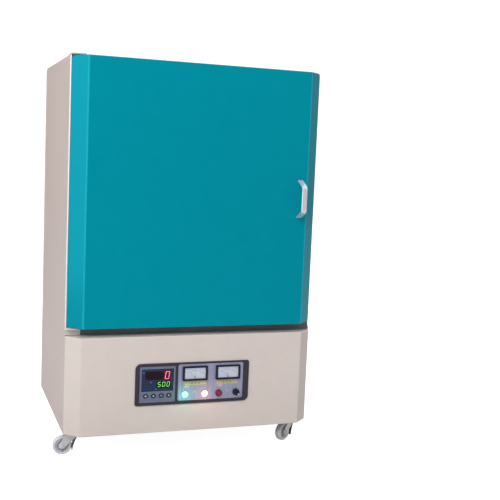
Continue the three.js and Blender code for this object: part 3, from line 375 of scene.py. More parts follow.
def folded_sheet(node, material, name, radius, back, cuts=()):
    """A tray folded from sheet: bends of one radius all round its front, open at the rear."""
    source = bmesh.new()
    source.from_mesh(nodes[node].data)
    shape = bmesh.new()
    for vert in source.verts:
        shape.verts.new(vert.co)
    source.free()
    bmesh.ops.remove_doubles(shape, verts=shape.verts, dist=SAME_PLACE)
    hull = bmesh.ops.convex_hull(shape, input=shape.verts)
    inner = set(hull["geom_interior"] + hull["geom_unused"])
    loose = [v for v in inner if isinstance(v, bmesh.types.BMVert)]
    bmesh.ops.delete(shape, geom=loose, context="VERTS")
    bmesh.ops.dissolve_limit(shape, angle_limit=FLAT_WITHIN, verts=shape.verts, edges=shape.edges)
    rear = [f for f in shape.faces if f.calc_center_median().y > back - REAR_WITHIN]
    bmesh.ops.delete(shape, geom=rear, context="FACES_ONLY")
    bends = [e for e in shape.edges if len(e.link_faces) == 2 and e.calc_face_angle() > BENT_OVER]
    bmesh.ops.bevel(shape, geom=bends, offset=radius, segments=4, profile=0.5, affect="EDGES",
                    clamp_overlap=True)
    bmesh.ops.recalc_face_normals(shape, faces=shape.faces)
    piece = fit(name, made(shape, name), material, nodes[node]["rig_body"], [node])
    thick = piece.modifiers.new("sheet_thickness", "SOLIDIFY")
    thick.thickness = SHEET_T
    thick.offset = -1.0
    for cut in cuts:
        opening = piece.modifiers.new("opening", "BOOLEAN")
        opening.object = cut
        opening.solver = "EXACT"
    settled(smoothed(piece))
    for cut in cuts:
        bpy.data.objects.remove(cut)


def cutter(x0, x1, y0, y1, z0, z1):
    """A temporary block that cuts an opening and is then thrown away."""
    rings = [[(x0, y, z0), (x1, y, z0), (x1, y, z1), (x0, y, z1)] for y in (y0, y1)]
    return placed("cutter", skinned("cutter", rings))


powder_coat = {"Specular IOR Level": 0.35, "Coat Weight": 0.08, "Coat Roughness": 0.25}
cabinet_paint = finish(
    "cabinet_paint", (0.690, 0.620, 0.583), (0.716, 0.646, 0.606), 0.42, size=5.0, relief=0.10,
    depth=0.0003, dust=0.25, wear_and_highlight=0.25, edge_colour=(0.80, 0.76, 0.73), plain=powder_coat)
# Painted shade: the side sheets take a darker, warmer copy of the cabinet paint.
shaded_side_paint = finish(
    "shaded_side_paint", (0.675, 0.585, 0.550), (0.705, 0.612, 0.576), 0.42, size=5.0, relief=0.10,
    depth=0.0003, dust=0.25, wear_and_highlight=0.25, edge_colour=(0.82, 0.78, 0.76), plain=powder_coat)
# Painted shade: the frame is coloured near-black so the gap under the door reads as shadow.
shade_dark_frame_paint = finish(
    "shade_dark_frame_paint", (0.135, 0.145, 0.150), (0.165, 0.175, 0.180), 0.45, size=9.0, relief=0.10,
    depth=0.0003, wear_and_highlight=0.3, edge_colour=(0.50, 0.49, 0.48))

low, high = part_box("plinth_cover")
panel_cuts = []
for node, lip in (("controller_case", CONTROLLER_LIP), ("instrument_plate", PLATE_LIP)):
    a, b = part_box(node)
    panel_cuts.append(cutter(a.x + lip, b.x - lip, low.y - CUT_LEAD, low.y + CUT_BACK,
                             a.z + lip, b.z - lip))
folded_sheet("plinth_cover", cabinet_paint, "plinth_cover_sheet", BEND_R, high.y, panel_cuts)
for panel, paint in (("top_cover", cabinet_paint), ("rear_panel", cabinet_paint),
                     ("left_side_panel", shaded_side_paint), ("right_side_panel", shaded_side_paint),
                     ("front_frame", shade_dark_frame_paint)):
    soft_edged(panel, paint, SHEET_EDGE_R)


def middle_of(node):
    """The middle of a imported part."""
    low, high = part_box(node)
    return (low + high) / 2


def dress(node, material):
    """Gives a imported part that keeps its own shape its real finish."""
    nodes[node].material_slots[0].material = material


dress("chamber_deck", cabinet_paint)


def laid(place, axis):
    """The move that takes the floor's middle to a place and turns upright to the given way."""
    return Matrix.Translation(place) @ Vector(axis).to_track_quat("Z", "Y").to_matrix().to_4x4()


def turned(profile, segments, place, axis):
    """A mesh spun from (radius, height) pairs, its axis laid along the given way."""
    shape = bmesh.new()
    rings = []
    for radius, rise in profile:
        if radius < NO_SIZE:
            rings.append([shape.verts.new((0.0, 0.0, rise))])
        else:
            rings.append([shape.verts.new((x, y, rise))
                          for x, y in round_ring(0.0, 0.0, radius, radius, segments)])
    for a, b in zip(rings, rings[1:]):
        for i in range(segments):
            j = (i + 1) % segments
            corners = dict.fromkeys([a[i % len(a)], a[j % len(a)], b[j % len(b)], b[i % len(b)]])
            if len(corners) > 2:
                shape.faces.new(corners)
    bmesh.ops.remove_doubles(shape, verts=shape.verts, dist=NO_SIZE)
    bmesh.ops.recalc_face_normals(shape, faces=shape.faces)
    bmesh.ops.transform(shape, matrix=laid(place, axis), verts=shape.verts)
    return made(shape, "turned")


def together(meshes, name):
    """Several meshes as one."""
    shape = bmesh.new()
    for mesh in meshes:
        shape.from_mesh(mesh)
        bpy.data.meshes.remove(mesh)
    return made(shape, name)


screw_steel = finish("screw_steel", (0.50, 0.50, 0.52), (0.70, 0.70, 0.72), 0.30, size=200.0, metal=0.9)


def screw_heads(name, places, axis, radius):
    """Pan-head screws with a shallow driver recess, standing on the sheet."""
    profile = [(0.0, -0.0004), (radius, -0.0004), (radius, 0.0004), (radius * 0.86, 0.0011),
               (radius * 0.5, 0.0014), (radius * 0.42, 0.0014), (radius * 0.3, 0.0006), (0.0, 0.0006)]
    heads = [turned(profile, 14, place, axis) for place in places]
    settled(smoothed(fit(name, together(heads, name), screw_steel, "cabinet")))


for hand, side in (("left", -1), ("right", 1)):
    places = [(side * SIDE_X, y, z) for y in SIDE_SCREW_YS for z in SIDE_SCREW_ZS]
    screw_heads(f"{hand}_side_screws", places, (side, 0, 0), SIDE_SCREW_R)
places = [(x, REAR_Y, z) for x in REAR_ROW_XS for z in REAR_ROW_ZS]
places += [(x, REAR_Y, z) for x in REAR_EDGE_XS for z in REAR_EDGE_ZS]
screw_heads("rear_panel_screws", places, (0, 1, 0), REAR_SCREW_R)

# ---- Front folds ----
# The front edge of each side sheet is rolled over the front frame into a narrow fold that runs up
# beside the door. Its near-white, cool colour is a painted highlight on the rounded fold, under a glossy
# coat.
FOLD_R = 0.0036
FOLD_STEPS = 8
FOLD_LIFT = 0.0001
FOLD_LOW, FOLD_HIGH = 0.3440, 1.0450
# Painted highlight: the fold is coloured near-white, far paler than the side paint, for the light it
# catches.
fold_highlight_paint = finish(
    "fold_highlight_paint", (0.86, 0.85, 0.88), (0.93, 0.92, 0.94), 0.22, size=12.0, relief=0.05,
    plain={"Coat Weight": 0.7, "Coat Roughness": 0.12})
fold_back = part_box("front_frame")[0].y + FOLD_LIFT
for hand, side in (("left", -1), ("right", 1)):
    ring = [(side * (SIDE_X - FOLD_R), fold_back)]
    for k in range(FOLD_STEPS + 1):
        t = k * math.pi / 2 / FOLD_STEPS
        ring.append((side * (SIDE_X - FOLD_R + FOLD_R * math.cos(t)),
                     fold_back - (FOLD_R + FOLD_LIFT) * math.sin(t)))
    name = f"{hand}_front_fold"
    fold = skinned(name, [[(x, y, z) for x, y in ring] for z in (FOLD_LOW, FOLD_HIGH)])
    settled(smoothed(fit(name, fold, fold_highlight_paint, "cabinet")))

# ---- Base frame, pan and power module ----
# Under the cabinet: a ring of welded steel angle with a zinc-plated pan in it, and on the pan the
# finned aluminium heat sink that carries the module feeding the heating wires.
frame_steel = finish(
    "frame_steel", (0.045, 0.045, 0.048), (0.075, 0.073, 0.072), 0.5, size=20.0, metal=0.3,
    relief=0.2, dust=0.6, wear_and_highlight=0.5, edge_colour=(0.35, 0.34, 0.33))
pan_zinc = finish("pan_zinc", (0.36, 0.37, 0.38), (0.52, 0.53, 0.54), 0.42, size=34.0, metal=0.85,
                  spread=0.12, dust=0.5)
sink_aluminium = finish("sink_aluminium", (0.42, 0.43, 0.44), (0.58, 0.58, 0.59), 0.38, size=16.0,
                        stretch=(6.0, 0.5, 6.0), metal=0.95, dust=0.3)
soft_edged("base_frame", frame_steel, 0.0008)
dress("base_pan", pan_zinc)
soft_edged("power_module", sink_aluminium, 0.0006)

# ---- Inner casing and insulation ----
# The chamber is built of rigid ceramic-fibre boards in a zinc-plated casing that stands on a steel
# ring above the deck. The boards are off-white, faintly warm and fibrous.
casing_zinc = finish("casing_zinc", (0.44, 0.45, 0.46), (0.62, 0.63, 0.64), 0.38, size=22.0,
                     metal=0.85, spread=0.12)
fibre_board = finish(
    "fibre_board", (0.70, 0.66, 0.58), (0.88, 0.86, 0.80), 0.92, size=26.0, spread=0.04, relief=0.6,
    depth=0.0009, plain={"Specular IOR Level": 0.2})
dress("inner_casing", casing_zinc)
dress("casing_stand", frame_steel)
for side in ("floor", "left", "right", "roof", "rear"):
    dress(f"insulation_{side}", fibre_board)

# ---- Hearth plate ----
# A thick cordierite slab, cast and fired, with eased edges and a speckled sandy surface. It lies on
# the floor board and carries the ware.
hearth_stone = finish(
    "hearth_stone", (0.44, 0.34, 0.24), (0.66, 0.54, 0.40), 0.82, size=60.0, relief=0.7,
    depth=0.0006, wear_and_highlight=0.2, edge_colour=(0.74, 0.66, 0.54))
soft_edged("hearth_plate", hearth_stone, 0.0018, 3)

# ---- Heating wires ----
# Resistance wire wound into a close coil and laid in the grooves of the side boards, six runs a side,
# with thicker straight leads that leave through the rear board. Firing has left it dull brown-black.
COIL_R = 0.0030
WIRE_R = 0.0009
COIL_PITCH = 0.0050
POINTS_A_TURN = 8
LEAD_R = 0.0026
LEAD_LAP = 0.006
GROOVE_INSET = 0.004
BENDS = 5
BEND_STEPS = 24
RUN_PITCH = 0.060
FRONT_BEND_Y = -0.1462
REAR_BEND_Y = 0.0388
LEAD_START_Y = 0.0860


def tube(points, radius, sides):
    """A round wire that follows the points, closed at both ends."""
    rings = []
    side = (points[1] - points[0]).normalized().orthogonal().normalized()
    for k, point in enumerate(points):
        aim = (points[min(k + 1, len(points) - 1)] - points[max(k - 1, 0)]).normalized()
        side = (side - aim * side.dot(aim)).normalized()
        over = aim.cross(side)
        rings.append([point + side * a + over * b for a, b in round_ring(0.0, 0.0, radius, radius, sides)])
    return skinned("tube", rings)


wire_metal = finish("heating_wire", (0.045, 0.038, 0.033), (0.11, 0.095, 0.08), 0.55, size=300.0,
                    metal=0.7, relief=0.3)
for hand in ("left", "right"):
    low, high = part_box(f"heating_element_{hand}")
    x = middle_of(f"heating_element_{hand}").x
    bottom, top = low.z + GROOVE_INSET, high.z - GROOVE_INSET
    line = [Vector((x, LEAD_START_Y, bottom))]
    for bend in range(BENDS):
        y, away = (REAR_BEND_Y, 1) if bend % 2 else (FRONT_BEND_Y, -1)
        for k in range(BEND_STEPS + 1):
            t = -math.pi / 2 + k * math.pi / BEND_STEPS
            line.append(Vector((x, y + away * math.cos(t) * RUN_PITCH / 2,
                                bottom + (bend + 0.5) * RUN_PITCH + math.sin(t) * RUN_PITCH / 2)))
    line.append(Vector((x, LEAD_START_Y, top)))
    total = sum((b - a).length for a, b in zip(line, line[1:]))
    stride = COIL_PITCH / POINTS_A_TURN
    outward = Vector((1, 0, 0))
    coil, stretch_start, index = [], 0.0, 0
    for step in range(int(total / stride)):
        walked = step * stride
        while walked > stretch_start + (line[index + 1] - line[index]).length:
            stretch_start += (line[index + 1] - line[index]).length
            index += 1
        part_way = (walked - stretch_start) / (line[index + 1] - line[index]).length
        here = line[index].lerp(line[index + 1], part_way)
        upward = outward.cross((line[index + 1] - line[index]).normalized())
        t = 2 * math.pi * step / POINTS_A_TURN
        coil.append(here + outward * (COIL_R * math.cos(t)) + upward * (COIL_R * math.sin(t)))
    leads = [tube([Vector((x, LEAD_START_Y - LEAD_LAP, z)), Vector((x, high.y, z))], LEAD_R, 12)
             for z in (bottom, top)]
    wound = together([tube(coil, WIRE_R, 5)] + leads, f"heating_coil_{hand}")
    smoothed(fit(f"heating_coil_{hand}", wound, wire_metal, "cabinet",
                 [f"heating_element_{hand}"]))

# ---- Thermocouple and cable gland ----
# A steel-sheathed thermocouple passes through the rear board, with its cast head behind the cabinet;
# beside it low down is the moulded gland for the supply cable.
cast_metal = finish("cast_metal", (0.40, 0.41, 0.42), (0.56, 0.57, 0.58), 0.4, size=50.0, metal=0.85,
                    relief=0.4, wear_and_highlight=0.3, edge_colour=(0.75, 0.75, 0.76))
gland_nylon = finish("gland_nylon", (0.012, 0.012, 0.013), (0.030, 0.030, 0.032), 0.42, size=120.0,
                     relief=0.2)
soft_edged("thermocouple", cast_metal, 0.0010)
soft_edged("cable_gland", gland_nylon, 0.0009)

# ---- Door ----
# A tray folded from one sheet, with slanted long edges and small corner radii, in teal enamel over
# fine orange peel. A paler teal strip along the two upright front bends, and lighter teal on its
# rounded edges, are painted highlights. A pale plate closes the tray's back round the fibre plug.
DOOR_BEND_R = 0.0034
BEND_HIGHLIGHT_FULL, BEND_HIGHLIGHT_NONE = 0.0008, 0.0030
# Painted highlight: the edge mask lightens the door's rounded bends to a paler teal, standing in for light
# caught on them.
door_enamel = finish(
    "door_enamel", (0.0008, 0.262, 0.348), (0.0010, 0.274, 0.360), 0.16, size=3.0, spread=0.02,
    relief=0.04, depth=0.0002, wear_and_highlight=0.55, edge_colour=(0.03, 0.50, 0.60),
    plain={"Specular IOR Level": 0.5, "Specular Tint": (0.02, 0.80, 1.0, 1.0)})
low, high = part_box("door_skin")
front_half = max(v.co.x for v in nodes["door_skin"].data.vertices if v.co.y < low.y + 0.0001)
# Painted highlight: a paler teal strip along the two upright front bends, placed by the object X position.
tree = door_enamel.node_tree
enamel_colour = tree.nodes["Principled BSDF"].inputs["Base Color"]
spot = lay(tree, "TexCoord")
across = lay(tree, "SeparateXYZ", {"Vector": spot.outputs["Object"]})
off_middle = lay(tree, "Math", {0: across.outputs["X"]}, operation="ABSOLUTE")
past_bend = lay(tree, "Math", {0: off_middle.outputs[0], 1: front_half}, operation="SUBTRACT")
from_bend = lay(tree, "Math", {0: past_bend.outputs[0]}, operation="ABSOLUTE")
bend_highlight = lay(tree, "MapRange", {
    "Value": from_bend.outputs[0], "From Min": BEND_HIGHLIGHT_FULL, "From Max": BEND_HIGHLIGHT_NONE, "To Min": 1.0,
    "To Max": 0.0})
bend_highlight_colour = mixed(tree, bend_highlight.outputs["Result"], enamel_colour.links[0].from_socket,
                  colour((0.012, 0.40, 0.52)))
tree.links.new(bend_highlight_colour, enamel_colour)
folded_sheet("door_skin", door_enamel, "door_skin_sheet", DOOR_BEND_R, high.y)
soft_edged("door_back_plate", cabinet_paint, 0.0005)
dress("door_insulation", fibre_board)

# ---- Door gasket ----
# A ring of soft ceramic-fibre rope cemented to the back of the door. It is squared by the press of
# the door and shows its coarse braid.
gasket_fibre = finish(
    "gasket_fibre", (0.60, 0.56, 0.48), (0.86, 0.83, 0.76), 0.95, size=90.0, spread=0.03,
    relief=0.9, depth=0.0012, plain={"Specular IOR Level": 0.15, "Sheen Weight": 0.3})
soft_edged("door_gasket", gasket_fibre, 0.0024, 4)

# ---- Hinges and catch ----
# Two painted steel brackets reach over and under the door's left corner with a pin welded in each;
# zinc-plated blocks in the corner turn on them. A block magnet holds the door's free edge shut.
block_zinc = finish("block_zinc", (0.40, 0.41, 0.42), (0.60, 0.60, 0.60), 0.36, size=90.0, metal=0.9,
                    wear_and_highlight=0.3, edge_colour=(0.8, 0.8, 0.8))
magnet_ferrite = finish("magnet_ferrite", (0.020, 0.020, 0.022), (0.045, 0.044, 0.046), 0.5,
                        size=140.0, relief=0.3, wear_and_highlight=0.3, edge_colour=(0.12, 0.12, 0.12))
for end in ("top", "bottom"):
    soft_edged(f"hinge_bracket_{end}", cabinet_paint, 0.0006)
    dress(f"door_hinge_block_{end}", block_zinc)
soft_edged("catch_magnet", magnet_ferrite, 0.0008)

# ---- Door handle ----
# A flat bar of polished aluminium bent into a D, its edges well rounded by tumbling, fixed from
# inside the door by two screws.
bright_bar = finish(
    "bright_bar", (0.84, 0.87, 0.95), (0.88, 0.91, 0.98), 0.22, size=9.0, stretch=(4.0, 1.0, 1.0),
    metal=0.60, spread=0.01, relief=0.01, plain={"Specular IOR Level": 0.8})
soft_edged("door_handle", bright_bar, 0.0030, 4, sharper_than=16.0, name="door_handle_bar")

# ---- Castors ----
# Four light swivel castors: a pressed and zinc-plated top plate and fork, a web down the fork's front
# coloured near-black as painted shade, and a clear grey polyurethane tyre cast round a ribbed nylon hub
# that turns on a bolt.
TYRE_R = 0.0250
TYRE_HALF = 0.0100
HUB_R = 0.0168
BORE_R = 0.0034
castor_zinc = finish(
    "castor_zinc", (0.62, 0.62, 0.63), (0.82, 0.82, 0.83), 0.32, size=70.0, metal=0.45, spread=0.1,
    wear_and_highlight=0.3, edge_colour=(0.90, 0.90, 0.90), dust=0.1)
hub_nylon = finish("hub_nylon", (0.42, 0.45, 0.54), (0.60, 0.63, 0.72), 0.2, size=90.0, dust=0.12)
tyre_urethane = finish(
    "tyre_urethane", (0.84, 0.86, 0.90), (0.92, 0.93, 0.96), 0.14, size=60.0, spread=0.04,
    relief=0.1, dust=0.1, plain={"Transmission Weight": 0.20, "IOR": 1.46, "Specular IOR Level": 0.5})
tyre_profile = [
    (HUB_R, -0.0080), (0.0205, -0.0088), (0.0222, -TYRE_HALF + 0.0006), (0.0238, -0.0074),
    (0.0247, -0.0046), (TYRE_R, -0.0016), (TYRE_R, 0.0016), (0.0247, 0.0046), (0.0238, 0.0074),
    (0.0222, TYRE_HALF - 0.0006), (0.0205, 0.0088), (HUB_R, 0.0080), (HUB_R, -0.0080)]
hub_profile = [
    (BORE_R, -TYRE_HALF), (0.0062, -TYRE_HALF), (0.0068, -0.0088), (0.0072, -0.0042),
    (0.0136, -0.0036), (0.0142, -0.0078), (0.0150, -0.0086), (HUB_R, -0.0086), (HUB_R, 0.0086),
    (0.0150, 0.0086), (0.0142, 0.0078), (0.0136, 0.0036), (0.0072, 0.0042), (0.0068, 0.0088),
    (0.0062, TYRE_HALF), (BORE_R, TYRE_HALF), (BORE_R, -TYRE_HALF)]
RIBS = 8
RIB_SIZE = (0.0074, 0.0010, 0.0040)
RIB_OUT, RIB_UP = 0.0103, 0.0056
WEB_T = 0.0010
WEB_HALF = 0.0127
WEB_LOW, WEB_HIGH, WEB_STEPS = -0.0130, 0.0285, 16
WEB_LOW_OUT, WEB_HIGH_OUT = 0.0262, 0.0400
FLANGE_DEEP = 0.0030
BOLT_OUT = 0.0133
BOLT_HEAD = [(0.0, 0.0), (0.0046, 0.0), (0.0046, 0.0022), (0.0038, 0.0029), (0.0, 0.0031)]
# Painted shade: the web is coloured near-black for the shade on the fork's front.
fork_web_shade_black = finish("fork_web_shade_black", (0.020, 0.020, 0.024), (0.045, 0.044, 0.050), 0.35, size=80.0,
                        wear_and_highlight=0.3, edge_colour=(0.20, 0.20, 0.21))
roll_joints = {j["child"]: j for j in frame["joints"] if j["name"].startswith("castor_roll_")}
swivel_joints = {j["child"]: j for j in frame["joints"] if j["name"].startswith("castor_swivel_")}


def hub_ribs(place, axis):
    """Thin ribs between the hub's boss and its rim, on both sides."""
    long, thick, deep = (size / 2 for size in RIB_SIZE)
    ribs = []
    for side in (-1, 1):
        for k in range(RIBS):
            turn = Matrix.Rotation(k * 2 * math.pi / RIBS, 4, "Z")
            way = laid(place, axis) @ turn @ Matrix.Translation((RIB_OUT, 0.0, side * RIB_UP))
            ribs.append([[way @ Vector((a * long, b * thick, c * deep))
                          for a, b in ((-1, -1), (1, -1), (1, 1), (-1, 1))] for c in (-1, 1)])
    return skinned("hub_ribs", *ribs)


def fork_web(name, axle, axis, swivel):
    """The fork's curved front, a channel whose two narrow flanges run down beside the tyre."""
    axle, axis = Vector(axle), Vector(axis).normalized()
    toward = Vector((swivel[0] - axle.x, swivel[1] - axle.y, 0.0))
    toward = (toward - axis * toward.dot(axis)).normalized()
    rings = []
    for k in range(WEB_STEPS + 1):
        share = k / WEB_STEPS
        rise = Vector((0, 0, WEB_LOW + (WEB_HIGH - WEB_LOW) * share))
        front = WEB_LOW_OUT + (WEB_HIGH_OUT - WEB_LOW_OUT) * share ** 1.5
        back = front - WEB_T - FLANGE_DEEP * share
        inside, within = front - WEB_T, WEB_HALF - WEB_T
        section = ((back, -WEB_HALF), (front, -WEB_HALF), (front, WEB_HALF), (back, WEB_HALF),
                   (back, within), (inside, within), (inside, -within), (back, -within))
        rings.append([axle + toward * r + axis * a + rise for r, a in section])
    return skinned(name, rings)


for corner in ("front_left", "front_right", "rear_left", "rear_right"):
    wheel = f"castor_wheel_{corner}"
    place, axis = roll_joints[wheel]["pos_m"], roll_joints[wheel]["axis"]
    tyre = turned(tyre_profile, 48, place, axis)
    smoothed(fit(f"castor_tyre_{corner}", tyre, tyre_urethane, wheel, [wheel]))
    hub = together([turned(hub_profile, 36, place, axis), hub_ribs(place, axis)], f"castor_hub_{corner}")
    settled(smoothed(fit(f"castor_hub_{corner}", hub, hub_nylon, wheel)))
    fork = f"castor_fork_{corner}"
    soft_edged(fork, castor_zinc, 0.0007, 2, name=f"{fork}_pressing")
    web = fork_web(f"{fork}_web", place, axis, swivel_joints[fork]["pos_m"])
    settled(smoothed(fit(f"{fork}_web", web, fork_web_shade_black, fork)))
    heads = [turned(BOLT_HEAD, 6, Vector(place) + out * BOLT_OUT, out)
             for out in (-Vector(axis), Vector(axis))]
    fit(f"{fork}_axle_bolt", together(heads, f"{fork}_axle_bolt"), screw_steel, fork)
    soft_edged(f"castor_plate_{corner}", castor_zinc, 0.0004, 2, name=f"castor_plate_{corner}_pressing")

# ---- Panel bezel ----
# A moulded charcoal frame with a leather-fine texture and rounded lips. It covers the two openings
# cut in the plinth and frames the controller and the instrument plate.
bezel_plastic = finish(
    "bezel_plastic", (0.022, 0.018, 0.032), (0.038, 0.031, 0.054), 0.42, size=180.0, relief=0.35,
    depth=0.0003, wear_and_highlight=0.45, edge_colour=(0.11, 0.10, 0.12))
soft_edged("panel_bezel", bezel_plastic, 0.0011, 3)

# ---- Temperature controller ----
# A square blue-grey moulded case with a deep tinted window. Slanted seven-segment figures light up in
# it, red above for the chamber and green below for the set point, with small marks beside them.
case_plastic = finish(
    "case_plastic", (0.115, 0.140, 0.200), (0.165, 0.195, 0.270), 0.42, size=120.0, relief=0.2,
    wear_and_highlight=0.7, edge_colour=(0.46, 0.50, 0.58))
window_tint = finish(
    "window_tint", (0.006, 0.016, 0.055), (0.009, 0.028, 0.085), 0.14, size=18.0, spread=0.03,
    relief=0.02, plain={"Specular IOR Level": 0.4})
soft_edged("controller_case", case_plastic, 0.0007)
soft_edged("controller_window", window_tint, 0.0004)


def plates(name, outlines, front, back):
    """Thin plates facing the front: each outline is a ring of (x, z) points."""
    return skinned(name, *([[(x, y, z) for x, z in ring] for y in (front, back)] for ring in outlines))


def box_ring(x, z, width, rise, corner=0.0):
    """The outline of an upright rectangle with clipped corners."""
    a, b = width / 2, rise / 2
    if not corner:
        return [(x - a, z - b), (x + a, z - b), (x + a, z + b), (x - a, z + b)]
    c, d = a - corner, b - corner
    return [(x - c, z - b), (x + c, z - b), (x + a, z - d), (x + a, z + d),
            (x + c, z + b), (x - c, z + b), (x - a, z + d), (x - a, z - d)]


SEGMENTS = {"0": "abcdef", "5": "acdfg", "8": "abcdefg"}
SLANT = 0.14
RED_W, RED_H, RED_PITCH = 0.0098, 0.0190, 0.0166
GREEN_W, GREEN_H, GREEN_PITCH = 0.0066, 0.0120, 0.0123
UNLIT_W, UNLIT_H, UNLIT_DROP = 0.0096, 0.0168, 0.0008
RED_RIGHT, RED_UP = 0.0262, 0.0126
GREEN_RIGHT, GREEN_DOWN = 0.0290, 0.0118
HAZE_PROUD, FIGURE_PROUD, PRINT_SUNK = 0.00006, 0.00022, 0.0004
SPOTS = [(-0.0378, 0.0205), (-0.0180, -0.0056), (-0.0037, -0.0245)]
SPOT_W, SPOT_H = 0.0026, 0.0030
BAR_GAP = 0.12


def figure(x, z, width, rise, lit, wanted=True, bar_share=0.14):
    """The lit, or the unlit, bars of one seven-segment figure."""
    bar, half_w, half_h = width * bar_share, width / 2, rise / 2
    ends = {
        "a": ((-half_w, half_h), (half_w, half_h)), "b": ((half_w, half_h), (half_w, 0)),
        "c": ((half_w, 0), (half_w, -half_h)), "d": ((-half_w, -half_h), (half_w, -half_h)),
        "e": ((-half_w, 0), (-half_w, -half_h)), "f": ((-half_w, half_h), (-half_w, 0)),
        "g": ((-half_w, 0), (half_w, 0))}
    rings = []
    for label, (start, stop) in ends.items():
        if (label in SEGMENTS[lit]) != wanted:
            continue
        a, b = Vector(start), Vector(stop)
        aim = (b - a).normalized()
        wide = Vector((-aim.y, aim.x)) * bar / 2
        a, b = a + aim * bar * BAR_GAP, b - aim * bar * BAR_GAP
        ring = [a, a + aim * bar / 2 + wide, b - aim * bar / 2 + wide, b,
                b - aim * bar / 2 - wide, a + aim * bar / 2 - wide]
        rings.append([(x + p.x + p.y * SLANT, z + p.y) for p in ring])
    return rings


def shining(material, shine, strength):
    """The same material, giving off light of the given colour."""
    shader = material.node_tree.nodes["Principled BSDF"]
    material.node_tree.links.new(shine, shader.inputs["Emission Color"])
    shader.inputs["Emission Strength"].default_value = strength
    return material


def glowing(name, body_tint, light, centre_light, strength, size):
    """A lit or dark display plastic that gives off light, a little brighter in random patches."""
    material = finish(name, body_tint, body_tint, 0.35, size=size, relief=0.02,
                      plain={"Specular IOR Level": 0.1})
    tree = material.node_tree
    cloud = lay(tree, "Group", {"Size": size}, node_tree=mottle)
    shine = mixed(tree, cloud.outputs["Tone"], colour(light), colour(centre_light))
    return shining(material, shine, strength)


red_lit = glowing("red_figure", (0.3, 0.05, 0.08), (1.0, 0.22, 0.36), (1.0, 0.50, 0.58), 1.35, 90.0)
red_dark = glowing("dark_figure", (0.006, 0.004, 0.010), (0.006, 0.002, 0.004), (0.010, 0.003, 0.006),
                   1.0, 60.0)
red_haze = glowing("red_haze", (0.03, 0.001, 0.008), (0.10, 0.001, 0.014), (0.18, 0.002, 0.028), 1.0,
                   110.0)
red_ghost = glowing("red_ghost", (0.016, 0.006, 0.008), (0.030, 0.005, 0.007), (0.044, 0.008, 0.010),
                    1.0, 110.0)
green_lit = glowing("green_figure", (0.1, 0.4, 0.08), (0.30, 0.90, 0.18), (0.44, 0.97, 0.30), 1.35, 90.0)
green_haze = glowing("green_haze", (0.001, 0.006, 0.001), (0.001, 0.008, 0.002), (0.001, 0.020, 0.003),
                     1.0, 110.0)
mark_grey = finish("mark_grey", (0.16, 0.21, 0.29), (0.26, 0.32, 0.42), 0.5, size=400.0)

low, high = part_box("controller_window")
window_x, _, window_z = middle_of("controller_window")
haze_front, figure_front, print_back = low.y - HAZE_PROUD, low.y - FIGURE_PROUD, low.y + PRINT_SUNK
red_x, red_z = window_x + RED_RIGHT, window_z + RED_UP
green_x, green_z = window_x + GREEN_RIGHT, window_z - GREEN_DOWN
hazes = [("red_figure_haze", red_haze, box_ring(red_x, red_z, 0.0186, 0.0248, 0.0018)),
         ("dark_figure_haze", red_dark, box_ring(red_x - 0.0348, red_z - 0.0002, 0.0495, 0.0228, 0.0020)),
         ("green_figure_haze", green_haze,
          box_ring(green_x - 0.0125, green_z - 0.0004, 0.0395, 0.0192, 0.0016))]
unlit = [ring for k in (1, 2, 3)
         for ring in figure(red_x - RED_PITCH * k, red_z - UNLIT_DROP, UNLIT_W, UNLIT_H, "8")]
unlit += figure(red_x, red_z, RED_W, RED_H, "0", wanted=False)
lit = [ring for k, digit in enumerate("005")
       for ring in figure(green_x - GREEN_PITCH * k, green_z, GREEN_W, GREEN_H, digit, bar_share=0.13)]
spots = [box_ring(window_x + x, window_z + z, SPOT_W, SPOT_H, 0.0007) for x, z in SPOTS]
prints = [(name, material, [ring], haze_front) for name, material, ring in hazes]
prints += [("red_figure", red_lit, figure(red_x, red_z, RED_W, RED_H, "0"), figure_front),
           ("dark_figures", red_ghost, unlit, figure_front),
           ("green_figures", green_lit, lit, figure_front),
           ("window_marks", mark_grey, spots, figure_front)]
for name, material, outlines, front in prints:
    fit(name, plates(name, outlines, front, print_back), material, "cabinet")

# ---- Controller keys ----
# Four oval rubber keys under the window, dark navy with a raised rim and a paler dished middle, each
# with its own small moulded sign. Every key presses in by itself.
key_rubber = finish("key_rubber", (0.006, 0.016, 0.045), (0.014, 0.030, 0.070), 0.4, size=260.0,
                    relief=0.2, wear_and_highlight=0.4, edge_colour=(0.10, 0.14, 0.22))
key_dish = finish("key_dish", (0.014, 0.032, 0.075), (0.026, 0.052, 0.110), 0.5, size=260.0, relief=0.2)
key_sign = finish("key_sign", (0.50, 0.60, 0.74), (0.70, 0.78, 0.90), 0.5, size=400.0)
KEY_LEVELS = [(1.00, 0.0050), (1.00, 0.0004), (0.94, 0.0001), (0.84, 0.0), (0.72, 0.0002), (0.64, 0.0005)]
DISH_SHARE = 0.62
SIGNS = [
    [(-0.0022, 0.0014), (-0.0022, -0.0012), (-0.0008, -0.0020), (0.0018, -0.0010), (0.0020, 0.0016),
     (0.0006, 0.0022)],
    [(-0.0024, 0.0), (0.0006, -0.0022), (0.0006, -0.0009), (0.0022, -0.0009), (0.0022, 0.0009),
     (0.0006, 0.0009), (0.0006, 0.0022)],
    [(0.0, -0.0024), (0.0022, 0.0012), (-0.0022, 0.0012)],
    [(0.0, 0.0024), (-0.0022, -0.0012), (0.0022, -0.0012)]]
